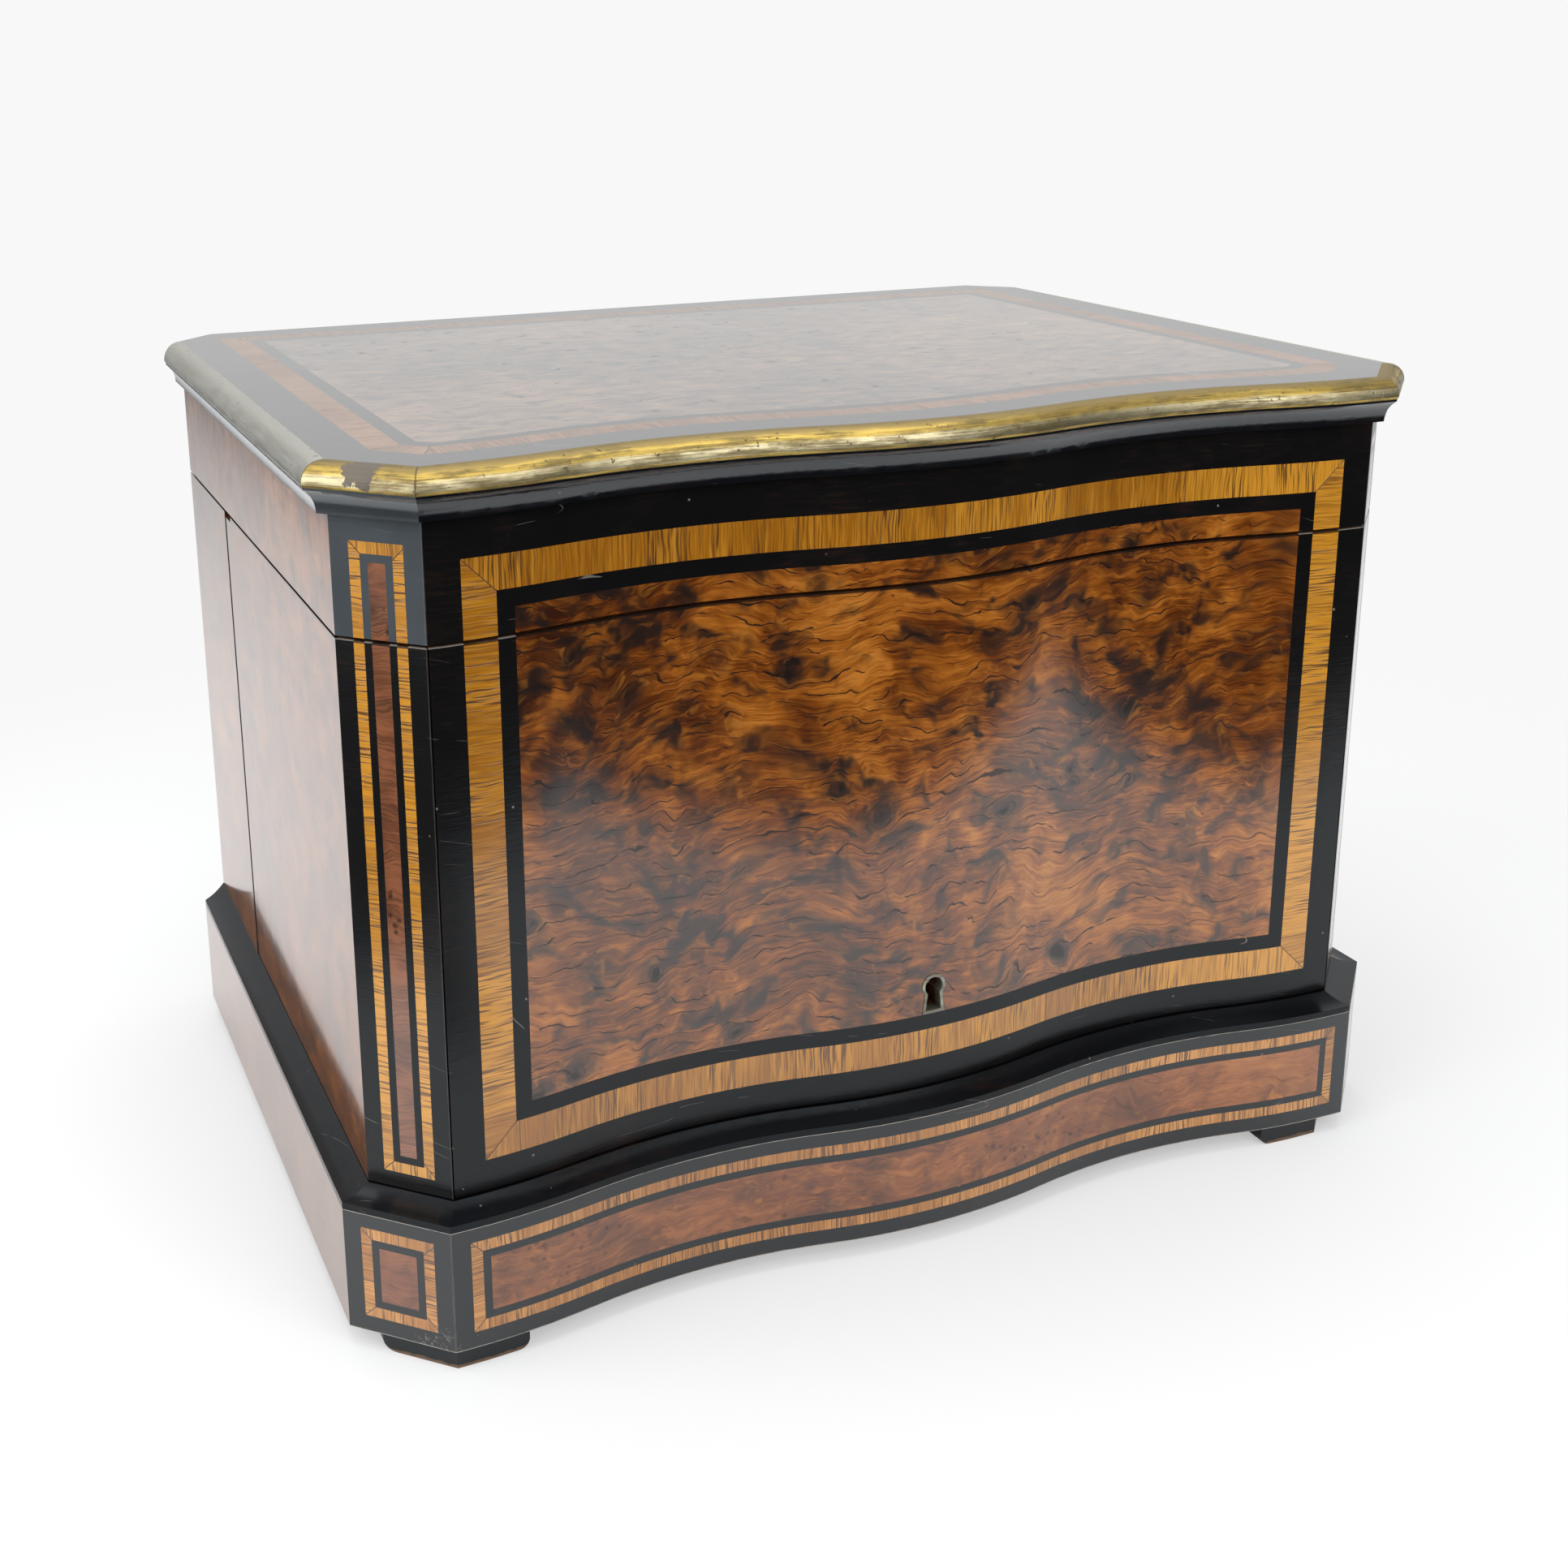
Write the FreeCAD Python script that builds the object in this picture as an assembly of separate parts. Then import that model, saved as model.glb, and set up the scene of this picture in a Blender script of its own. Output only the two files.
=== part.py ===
import FreeCAD
import Part
import math
import os

# Table liquor case with a serpentine front, cut corners, a lifting lid, a front flap hung on the lid,
# two corner doors and a fitted tray. Millimetres; x runs to the right, y to the back, z up from the
# floor. The origin lies on the floor under the middle of the case.

V = FreeCAD.Vector

# Body
BODY_WIDTH = 320.0
BODY_DEPTH = 240.0
BODY_HEIGHT = 182.2
SEAM_HEIGHT = 151.1
FRONT_CHAMFER = 18.0
REAR_CHAMFER = 12.0
SERPENTINE_DEPTH = 7.0
SIDE_SEAM_DEPTH = 164.0
WALL = 12.0
FRONT_WALL = 16.0
VENEER = 1.0
SEAM_GAP = 0.8
END_GAP = 0.4

# Plinth and feet
FOOT_HEIGHT = 6.0
FOOT_LENGTH = 36.0
FOOT_DEPTH = 38.0
FOOT_SETBACK = 1.6
FOOT_SIDE_SETBACK = 7.6
FOOT_END_RADIUS = 3.0
RIGHT_FOOT_INSET = 8.0
PLINTH_HEIGHT = 39.4
PLINTH_PROJECTION = 8.0
PLINTH_BOARD = 16.0
BOTTOM_BOARD = 12.0
PLINTH_MOULDING_HEIGHT = 4.0
PLINTH_MOULDING_SEAT = 6.0
PLINTH_COVE_RISE = 2.0
PLINTH_COVE_SAG = 0.6

# Lid
CAVETTO_HEIGHT = 6.8
CAVETTO_PROJECTION = 6.1
CAVETTO_STEP = 3.0
CAVETTO_SEAT = 3.0
CAVETTO_LIP = 0.6
CAVETTO_SAG = 0.7
BRASS_HEIGHT = 5.9
BRASS_DEPTH = 6.6
BRASS_LIP = 0.8
BRASS_RETURN = 0.5
LID_PROJECTION = 6.6

# Inlay on the front, the corners, the plinth and the lid top
FRONT_BORDER_SIDE = 9.2
FRONT_BORDER_TOP = 10.8
FRONT_BORDER_BOTTOM = 8.8
FRONT_BAND = 8.9
FRONT_LINE = 4.7
CORNER_BORDER_SIDE = 5.2
CORNER_BORDER_TOP = 6.7
CORNER_BORDER_BOTTOM = 4.4
CORNER_BAND = 3.0
CORNER_LINE = 2.1
PLINTH_BORDER_SIDE = 5.2
PLINTH_BORDER_TOP = 4.1
PLINTH_BORDER_BOTTOM = 4.7
PLINTH_BAND = 3.1
PLINTH_LINE = 2.2
TOP_BORDER = 12.5
TOP_BAND = 8.4
TOP_LINE = 4.5

# Butt hinges of the lid and the flap
HINGE_LENGTH = 40.0
LEAF_THICKNESS = 1.2
LEAF_WIDTH = 8.0
BARREL_RADIUS = 2.2
BARREL_STANDOFF = 0.5
HINGE_PIN_RADIUS = 1.2
PIN_CLEARANCE = 0.05
PIN_HEAD = 0.8
KNUCKLE_GAP = 0.3
LID_HINGE_X = 95.0
FLAP_HINGE_X = 112.0

# Door pivots
PIVOT_INSET = 5.0
PIVOT_PIN_RADIUS = 1.5
PIVOT_PIN_LENGTH = 8.0
PIVOT_PLATE = 1.2
PIVOT_PLATE_LENGTH = 26.0
PIVOT_NECK = 2.4
PIVOT_RELIEF = 0.3
SWING_GAP = 0.4
DOOR_FLOOR_GAP = 0.6
PIVOT_COLLAR_RADIUS = 3.4

# Lock
LOCK_WIDTH = 34.0
LOCK_HEIGHT = 40.0
LOCK_DEPTH = 8.0
LOCK_WALL = 1.2
COVER_MARGIN = 4.0
BOLT_WIDTH = 12.0
BOLT_BODY_WIDTH = 22.0
BOLT_BODY_HEIGHT = 15.0
BOLT_THICKNESS = 3.0
BOLT_THROW = 5.0
BOLT_CLEARANCE = 0.2
TALON_RADIUS = 4.0
STRIKE_LENGTH = 40.0
STRIKE_WIDTH = 10.0
STRIKE_THICKNESS = 1.5
KEYHOLE_HEIGHT = 31.7
KEYHOLE_RADIUS = 2.8
KEYHOLE_NECK = 1.7
KEYHOLE_FOOT = 2.5
KEYHOLE_DROP = 7.4
ESCUTCHEON_RIM = 0.9
ESCUTCHEON_DEPTH = 3.0
ESCUTCHEON_PROUD = 0.25
DRILL_PIN_RADIUS = 1.2
DRILL_PIN_SETBACK = 4.0

# Screws
SCREW_RADIUS = 0.8
SCREW_HEAD_RADIUS = 1.6
SCREW_HEAD = 0.9
SCREW_LENGTH = 6.0
SCREW_CLEARANCE = 0.05

# Fitted tray
TRAY_SETBACK = 18.0
TRAY_SIDE_GAP = 5.0
TRAY_BACK_GAP = 4.0
TRAY_BOARD = 8.0
GALLERY_HEIGHT = 24.0
GALLERY_WALL = 4.0
DECK = 5.0
DECK_CLEARANCE = 0.6
HANDLE_ROD_RADIUS = 3.0
HANDLE_WIRE_RADIUS = 2.4
HANDLE_RADIUS = 17.0
HANDLE_HEIGHT = 118.0
HANDLE_FLANGE_RADIUS = 8.0
HANDLE_FLANGE = 2.0

# Glassware
DECANTER_RADIUS = 33.0
DECANTER_PITCH = 71.0
DECANTER_SHOULDER = 78.0
DECANTER_NECK_RADIUS = 12.5
DECANTER_NECK_START = 103.0
DECANTER_HEIGHT = 125.0
DECANTER_LIP_RADIUS = 15.5
DECANTER_LIP = 4.0
DECANTER_WALL = 3.5
DECANTER_BASE = 6.0
STOPPER_PLUG = 16.0
STOPPER_TAPER = 0.7
STOPPER_CLEARANCE = 0.1
STOPPER_COLLAR_RADIUS = 13.0
STOPPER_COLLAR = 3.0
STOPPER_STEM_RADIUS = 6.0
STOPPER_STEM = 5.0
STOPPER_BALL_RADIUS = 13.0
GLASS_RADIUS = 15.0
GLASS_HEIGHT = 68.0
GLASS_STEM = 26.0
GLASS_STEM_RADIUS = 2.5
GLASS_FOOT_RADIUS = 13.5
GLASS_FOOT = 2.0
GLASS_WALL = 1.5
GLASS_BOWL_BASE = 4.0
GLASS_COLUMN_PITCH = 36.0
GLASS_ROW_PITCH = 44.0
GLASS_ROWS = 4
GLASS_COLUMNS = 2

# Places worked out from the sizes above
MITRE = math.tan(math.radians(22.5))
DIAGONAL = math.sqrt(2.0)
HALF_WIDTH = BODY_WIDTH / 2
ARRIS = HALF_WIDTH - FRONT_CHAMFER
QUARTER_WAVE = ARRIS / 4
HALF_WAVE = ARRIS / 2
WAVE_RADIUS = (QUARTER_WAVE ** 2 + (SERPENTINE_DEPTH / 2) ** 2) / SERPENTINE_DEPTH
FRONT_REACH = max(PLINTH_PROJECTION, LID_PROJECTION)
KNUCKLE_REACH = 2 * BARREL_RADIUS + BARREL_STANDOFF
Y_FRONT = (FRONT_REACH - BODY_DEPTH - KNUCKLE_REACH) / 2
Y_BACK = Y_FRONT + BODY_DEPTH
Y_INNER = Y_FRONT + FRONT_WALL
Y_CORNER = Y_FRONT + FRONT_CHAMFER
Y_REAR = Y_BACK - REAR_CHAMFER
ZONE = FRONT_REACH + FRONT_WALL / 4
Z_BODY = FOOT_HEIGHT + PLINTH_HEIGHT
Z_SEAM = Z_BODY + SEAM_HEIGHT
Z_BELOW_SEAM = Z_SEAM - SEAM_GAP
Z_CAVETTO = Z_BODY + BODY_HEIGHT
Z_LID_BOARD = Z_CAVETTO + CAVETTO_HEIGHT
Z_TOP = Z_LID_BOARD + BRASS_HEIGHT
Z_FLAP = Z_BODY + SEAM_GAP
Z_DOOR = Z_BODY + DOOR_FLOOR_GAP
Z_BOARD = Z_BODY - BOTTOM_BOARD
Z_MOULDING = Z_BODY - PLINTH_MOULDING_HEIGHT
SIDE_SEAM_Y = Y_FRONT + SIDE_SEAM_DEPTH
PIVOT_X = HALF_WIDTH - PIVOT_INSET
PIVOT_Y = SIDE_SEAM_Y - PIVOT_INSET
SWING_RADIUS = PIVOT_INSET * DIAGONAL
POST_BACK = Y_CORNER + WALL / 3
FLAP_HALF = ARRIS - END_GAP
Z_KEYHOLE = Z_BODY + KEYHOLE_HEIGHT
FAR = BODY_WIDTH + BODY_DEPTH


def box(x0, x1, y0, y1, z0, z1):
    """Box between two corners."""
    return Part.makeBox(x1 - x0, y1 - y0, z1 - z0, V(x0, y0, z0))


def prism(points, along):
    """Closed polygon of points pushed along a vector."""
    return Part.Face(Part.makePolygon(points + points[:1])).extrude(along)


def plan_prism(points, z0, z1):
    """Polygon in plan raised from z0 to z1."""
    return prism([V(x, y, z0) for x, y in points], V(0, 0, z1 - z0))


def rod(at, axis, radius, length):
    """Cylinder from a point along an axis."""
    return Part.makeCylinder(radius, length, at, axis)


def fuse(shapes):
    """One solid from touching or overlapping shapes."""
    return shapes[0].multiFuse(shapes[1:]).removeSplitter()


def mirrored(shape):
    """Copy on the other side of the middle plane."""
    return shape.mirror(V(0, 0, 0), V(1, 0, 0))


def both_sides(shapes):
    """Shapes of the left side followed by their mirror images."""
    return shapes + [mirrored(shape) for shape in shapes]


def wave(x):
    """How far the serpentine front lies behind its crests at x."""
    from_arris = ARRIS - abs(x)
    if from_arris <= 0:
        return 0.0
    if from_arris <= QUARTER_WAVE:
        return WAVE_RADIUS - math.sqrt(WAVE_RADIUS ** 2 - from_arris ** 2)
    if from_arris <= 3 * QUARTER_WAVE:
        rise = WAVE_RADIUS - math.sqrt(WAVE_RADIUS ** 2 - (from_arris - HALF_WAVE) ** 2)
        return SERPENTINE_DEPTH - rise
    return WAVE_RADIUS - math.sqrt(WAVE_RADIUS ** 2 - x ** 2)


def front_edges(half, shift, z=0.0):
    """Serpentine line from -half to half: tangent arcs, straight past the arrises."""
    def on_line(x):
        return V(x, Y_FRONT + shift + wave(x), z)

    turns = [-4, -3, -1, 1, 3, 4]
    inside = [turn * QUARTER_WAVE for turn in turns if abs(turn) * QUARTER_WAVE < half]
    stops = [-half] + inside + [half]
    edges = []
    for start, end in zip(stops, stops[1:]):
        middle = (start + end) / 2
        if abs(middle) > ARRIS:
            edges.append(Part.makeLine(on_line(start), on_line(end)))
        else:
            edges.append(Part.Arc(on_line(start), on_line(middle), on_line(end)).toShape())
    return edges


def closed_face(edges):
    """Face inside a closed run of edges."""
    return Part.Face(Part.Wire(Part.__sortEdges__(edges)))


def front_slab(half, shift, y_back, z0, z1):
    """Solid with a serpentine front and a flat back."""
    edges = front_edges(half, shift, z0)
    first = edges[0].Vertexes[0].Point
    last = edges[-1].Vertexes[-1].Point
    corners = [last, V(half, y_back, z0), V(-half, y_back, z0), first]
    edges += [Part.makeLine(a, b) for a, b in zip(corners, corners[1:])]
    return closed_face(edges).extrude(V(0, 0, z1 - z0))


def front_sheet(half, shift, thickness, z0, z1):
    """Sheet of even depth that follows the serpentine front."""
    near = front_edges(half, shift, z0)
    far = front_edges(half, shift + thickness, z0)
    ends = [Part.makeLine(near[i].Vertexes[i].Point, far[i].Vertexes[i].Point) for i in (0, -1)]
    return closed_face(near + far + ends).extrude(V(0, 0, z1 - z0))


def block(offset, z0, z1):
    """Whole plan of the case, grown by offset at the front, corners and sides, flush at the rear."""
    half = HALF_WIDTH + offset
    arris = ARRIS + offset * MITRE
    y_arris = Y_FRONT - offset + wave(arris)
    y_side = y_arris + half - arris
    ahead = FRONT_CHAMFER
    right = [(arris - ahead, y_arris - ahead), (half, y_side), (half, Y_REAR - offset),
             (HALF_WIDTH - REAR_CHAMFER, Y_BACK)]
    left = [(-x, y) for x, y in reversed(right)]
    return front_slab(half, -offset, Y_BACK, z0, z1).common(plan_prism(right + left, z0, z1))


def front_zone(z0, z1, reach=ZONE):
    """Space of the front strips between the mitres at the two arrises."""
    turn = reach * MITRE
    points = [(-ARRIS - turn, Y_FRONT - reach), (ARRIS + turn, Y_FRONT - reach),
              (ARRIS - turn, Y_FRONT + reach), (-ARRIS + turn, Y_FRONT + reach)]
    return plan_prism(points, z0, z1)


def corner_zone(z0, z1, reach=ZONE):
    """Space of the left cut corner between its two mitres."""
    turn = reach * MITRE
    points = [(-ARRIS - turn, Y_FRONT - reach), (-ARRIS + turn, Y_FRONT + reach),
              (-HALF_WIDTH + reach, Y_CORNER + turn), (-HALF_WIDTH - reach, Y_CORNER - turn)]
    return plan_prism(points, z0, z1)


def side_zone(z0, z1):
    """Space of the left side from its mitre to the rear cut corner."""
    turn = ZONE * MITRE
    points = [(-HALF_WIDTH - ZONE, Y_CORNER - turn), (-HALF_WIDTH + ZONE, Y_CORNER + turn),
              (-HALF_WIDTH + ZONE, Y_REAR + ZONE), (-HALF_WIDTH - ZONE, Y_REAR - ZONE)]
    return plan_prism(points, z0, z1)


def profile_wire(path, base, normal):
    """Closed moulding profile: points (projection, z), with a pair of points for an arc."""
    def place(point):
        return base + normal * point[0] + V(0, 0, point[1])

    edges = []
    start = path[0]
    for step in path[1:] + path[:1]:
        if isinstance(step[0], tuple):
            middle, end = step
            edges.append(Part.Arc(place(start), place(middle), place(end)).toShape())
        else:
            end = step
            edges.append(Part.makeLine(place(start), place(end)))
        start = end
    return Part.Wire(edges)


def moulding(path, z0, z1):
    """Five mitred strips of one profile: front, two cut corners and two sides."""
    half = ARRIS + FRONT_CHAMFER
    spine = front_edges(half, 0.0)
    sweep = Part.BRepOffsetAPI.MakePipeShell(Part.Wire(spine))
    sweep.setTrihedronMode(V(0, 0, 0), V(1, 0, 0))
    sweep.add(profile_wire(path, spine[0].Vertexes[0].Point, V(0, -1, 0)))
    sweep.build()
    sweep.makeSolid()
    front = sweep.shape().common(front_zone(z0, z1))
    run = V(-1, 1, 0) / DIAGONAL
    corner_start = V(-ARRIS, Y_FRONT, 0) - run * BODY_DEPTH
    corner_face = Part.Face(profile_wire(path, corner_start, V(-1, -1, 0) / DIAGONAL))
    corner = corner_face.extrude(run * BODY_DEPTH * 2).common(corner_zone(z0, z1))
    side_face = Part.Face(profile_wire(path, V(-HALF_WIDTH, Y_FRONT, 0), V(-1, 0, 0)))
    side = side_face.extrude(V(0, BODY_DEPTH, 0)).common(side_zone(z0, z1))
    return [front] + both_sides([corner, side])


class Facing:
    """Flat frame of a veneered face: u runs along the face, v is z, cuts go through the face."""

    def __init__(self, origin, along, through):
        self.origin = origin
        self.along = along
        self.through = through

    def cutter(self, points):
        """Prism through the face over a polygon of (u, v) points."""
        start = self.origin - self.through * FAR
        corners = [start + self.along * u + V(0, 0, v) for u, v in points]
        return prism(corners, self.through * FAR * 2)


FRONT_FACING = Facing(V(0, Y_FRONT, 0), V(1, 0, 0), V(0, 1, 0))
CORNER_FACING = Facing(V(-ARRIS, Y_FRONT, 0), V(-1, 1, 0) / DIAGONAL, V(1, 1, 0) / DIAGONAL)


def inset(rect, left, right, bottom, top):
    """Rectangle (u0, u1, v0, v1) drawn in on its four sides."""
    u0, u1, v0, v1 = rect
    return (u0 + left, u1 - right, v0 + bottom, v1 - top)


def corners_of(rect):
    """Corner points of a rectangle in turn."""
    u0, u1, v0, v1 = rect
    return [(u0, v0), (u1, v0), (u1, v1), (u0, v1)]


def solids_of(shape):
    """Solids of a cut, without empty leftovers."""
    return [solid for solid in shape.Solids if solid.Volume > VENEER ** 3]


class Inlay:
    """Bordered panel: ebonised border, mitred crossband, ebonised line and burl field."""

    def __init__(self, facing, rect, border, band, line):
        self.facing = facing
        self.outer = rect
        self.band = inset(rect, *border)
        self.line = inset(self.band, band, band, band, band)
        self.field = inset(self.line, line, line, line, line)

    def ring(self, sheet, outer, inner):
        """Frame between two rectangles, cut from a sheet."""
        frame = self.facing.cutter(corners_of(outer)).cut(self.facing.cutter(corners_of(inner)))
        return solids_of(sheet.common(frame))

    def ebony(self, sheet):
        """Outer border and inner line."""
        return self.ring(sheet, self.outer, self.band) + self.ring(sheet, self.line, self.field)

    def crossband(self, sheet):
        """Strips of the band with mitred ends."""
        outside = corners_of(self.band)
        inside = corners_of(self.line)
        strips = []
        for i in range(len(outside)):
            j = (i + 1) % len(outside)
            strip = self.facing.cutter([outside[i], outside[j], inside[j], inside[i]])
            strips += solids_of(sheet.common(strip))
        return strips

    def burl(self, sheet):
        """Field inside the line."""
        return solids_of(sheet.common(self.facing.cutter(corners_of(self.field))))


def screw(at, axis, clearance=0.0):
    """Countersunk screw, its head flush at a point; with clearance, the hole for it."""
    head = Part.makeCone(SCREW_HEAD_RADIUS + clearance, SCREW_RADIUS + clearance, SCREW_HEAD, at, axis)
    return fuse([head, rod(at, axis, SCREW_RADIUS + clearance, SCREW_LENGTH + clearance)])


def drilled(shape, places, axis):
    """Shape with the holes of its screws."""
    for at in places:
        shape = shape.cut(screw(at, axis, SCREW_CLEARANCE))
    return shape


class ButtHinge:
    """Butt hinge in a horizontal seam, its barrel behind the wood's rear face."""

    def __init__(self, x, y_face):
        self.x = x
        self.y_face = y_face
        self.y_axis = y_face + BARREL_STANDOFF + BARREL_RADIUS
        self.z_axis = Z_SEAM - SEAM_GAP / 2

    def knuckles(self, outer):
        """Ranges along x of the outer pair or of the middle knuckle."""
        half = HINGE_LENGTH / 2
        third = HINGE_LENGTH / 6
        if outer:
            return [(self.x - half, self.x - third - KNUCKLE_GAP),
                    (self.x + third + KNUCKLE_GAP, self.x + half)]
        return [(self.x - third, self.x + third)]

    def leaf_levels(self, upper):
        """Lower and upper level of a leaf."""
        if upper:
            return Z_SEAM, Z_SEAM + LEAF_THICKNESS
        return Z_BELOW_SEAM - LEAF_THICKNESS, Z_BELOW_SEAM

    def pocket(self, upper):
        """Recess that seats a leaf."""
        z0, z1 = self.leaf_levels(upper)
        half = HINGE_LENGTH / 2
        return box(self.x - half, self.x + half, self.y_face - LEAF_WIDTH, self.y_face, z0, z1)

    def screw_places(self, upper):
        """Head centres of the two screws of a leaf."""
        z = Z_SEAM if upper else Z_BELOW_SEAM
        y = self.y_face - LEAF_WIDTH / 2
        return [V(self.x + side * HINGE_LENGTH / 4, y, z) for side in (-1, 1)]

    def screw_axis(self, upper):
        """Direction in which the screws of a leaf go."""
        return V(0, 0, 1) if upper else V(0, 0, -1)

    def leaf(self, upper, outer):
        """Leaf with its knuckles and screw holes."""
        z0, z1 = self.leaf_levels(upper)
        shapes = [self.pocket(upper)]
        for x0, x1 in self.knuckles(outer):
            shapes.append(box(x0, x1, self.y_face, self.y_axis, z0, z1))
            shapes.append(rod(V(x0, self.y_axis, self.z_axis), V(1, 0, 0), BARREL_RADIUS, x1 - x0))
        bore = rod(V(self.x - HINGE_LENGTH, self.y_axis, self.z_axis), V(1, 0, 0),
                   HINGE_PIN_RADIUS + PIN_CLEARANCE, HINGE_LENGTH * 2)
        leaf = fuse(shapes).cut(bore)
        return drilled(leaf, self.screw_places(upper), self.screw_axis(upper))

    def pin(self):
        """Pin with a flat head at each end of the barrel."""
        length = HINGE_LENGTH + 2 * PIN_HEAD
        start = V(self.x - length / 2, self.y_axis, self.z_axis)
        far_head = start + V(length - PIN_HEAD, 0, 0)
        head_radius = (BARREL_RADIUS + HINGE_PIN_RADIUS) / 2
        return fuse([rod(start, V(1, 0, 0), HINGE_PIN_RADIUS, length),
                     rod(start, V(1, 0, 0), head_radius, PIN_HEAD),
                     rod(far_head, V(1, 0, 0), head_radius, PIN_HEAD)])

    def screws(self, upper):
        """The two screws of a leaf."""
        return [screw(at, self.screw_axis(upper)) for at in self.screw_places(upper)]

    def seat(self, wood, upper):
        """Wood with the leaf's recess and screw holes."""
        return drilled(wood.cut(self.pocket(upper)), self.screw_places(upper), self.screw_axis(upper))


LID_HINGES = [ButtHinge(side * LID_HINGE_X, Y_BACK) for side in (-1, 1)]
FLAP_HINGES = [ButtHinge(side * FLAP_HINGE_X, Y_INNER) for side in (-1, 1)]


def seated(wood, hinges, upper):
    """Wood with the recesses of several hinges."""
    for hinge in hinges:
        wood = hinge.seat(wood, upper)
    return wood


def feet():
    """Four low feet under the corners; the right pair stands further in than the left pair."""
    plan = block(PLINTH_PROJECTION - FOOT_SETBACK, 0, FOOT_HEIGHT)
    outer = HALF_WIDTH + PLINTH_PROJECTION - FOOT_SIDE_SETBACK
    inner = outer - FOOT_LENGTH
    y_front_foot = Y_FRONT - PLINTH_PROJECTION + FOOT_DEPTH
    y_rear_foot = Y_BACK - FOOT_DEPTH
    left = []
    for y0, y1 in ((-FAR, y_front_foot), (y_rear_foot, FAR)):
        foot = plan.common(box(-outer, -inner, y0, y1, 0, FAR)).Solids[0]
        ends = [edge for edge in foot.Edges if edge.BoundBox.ZMax < VENEER and edge.BoundBox.XLength < VENEER]
        left.append(foot.makeFillet(FOOT_END_RADIUS, ends))
    right = [mirrored(foot).translated(V(-RIGHT_FOOT_INSET, 0, 0)) for foot in left]
    return left + right


def plinth_parts():
    """Feet, plinth boards, bottom board, cove moulding and plinth inlay."""
    core = PLINTH_PROJECTION - VENEER
    boards = block(core, FOOT_HEIGHT, Z_BOARD)
    y_front_board = Y_FRONT + PLINTH_BOARD
    y_back_board = Y_BACK - PLINTH_BOARD
    x_side = HALF_WIDTH - PLINTH_BOARD
    front_board = boards.common(box(-FAR, FAR, -FAR, y_front_board, 0, FAR))
    back_board = boards.common(box(-FAR, FAR, y_back_board, FAR, 0, FAR))
    left_side = boards.common(box(-FAR, -x_side, y_front_board, y_back_board, 0, FAR))
    bottom = fuse([block(core, Z_BOARD, Z_MOULDING), block(-PLINTH_MOULDING_SEAT, Z_MOULDING, Z_BODY)])
    bottom = bottom.cut(strike_pocket()).cut(strike_slot(Z_BODY - 2 * BOLT_THROW))
    bottom = drilled(bottom, strike_screw_places(), V(0, 0, -1))
    pin_foot = V(-PIVOT_X, PIVOT_Y, Z_BODY - PIVOT_PIN_LENGTH)
    pin_holes = both_sides([rod(pin_foot, V(0, 0, 1), PIVOT_PIN_RADIUS, PIVOT_PIN_LENGTH)])
    bottom = bottom.cut(pin_holes)

    edge = Z_BODY - PLINTH_COVE_RISE
    middle = (PLINTH_PROJECTION / 2, Z_BODY - PLINTH_COVE_RISE / 2 - PLINTH_COVE_SAG)
    cove = [(-PLINTH_MOULDING_SEAT, Z_MOULDING), (PLINTH_PROJECTION, Z_MOULDING), (PLINTH_PROJECTION, edge),
            (middle, (0.0, Z_BODY)), (-PLINTH_MOULDING_SEAT, Z_BODY)]

    skin = block(PLINTH_PROJECTION, FOOT_HEIGHT, Z_MOULDING).cut(block(core, FOOT_HEIGHT, Z_MOULDING))
    front_skin = skin.common(front_zone(FOOT_HEIGHT, Z_MOULDING))
    corner_skin = skin.common(corner_zone(FOOT_HEIGHT, Z_MOULDING))
    side_skin = skin.common(side_zone(FOOT_HEIGHT, Z_MOULDING))
    half = ARRIS + PLINTH_PROJECTION * MITRE
    start = -PLINTH_PROJECTION * MITRE
    length = FRONT_CHAMFER * DIAGONAL - 2 * start
    border = (PLINTH_BORDER_SIDE, PLINTH_BORDER_SIDE, PLINTH_BORDER_BOTTOM, PLINTH_BORDER_TOP)
    front = Inlay(FRONT_FACING, (-half, half, FOOT_HEIGHT, Z_MOULDING), border, PLINTH_BAND, PLINTH_LINE)
    corner = Inlay(CORNER_FACING, (start, start + length, FOOT_HEIGHT, Z_MOULDING), border,
                   PLINTH_BAND, PLINTH_LINE)
    return {
        "feet": feet(),
        "plinth_boards": [front_board, back_board] + both_sides([left_side]),
        "bottom_board": [bottom],
        "plinth_moulding": [strip.cut(pin_holes) for strip in moulding(cove, Z_MOULDING, Z_BODY)],
        "plinth_burl": front.burl(front_skin) + both_sides(corner.burl(corner_skin) + [side_skin]),
        "plinth_crossband": front.crossband(front_skin) + both_sides(corner.crossband(corner_skin)),
        "plinth_ebony": front.ebony(front_skin) + both_sides(corner.ebony(corner_skin)),
        "strike_plate": [strike_plate()],
    }


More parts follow.
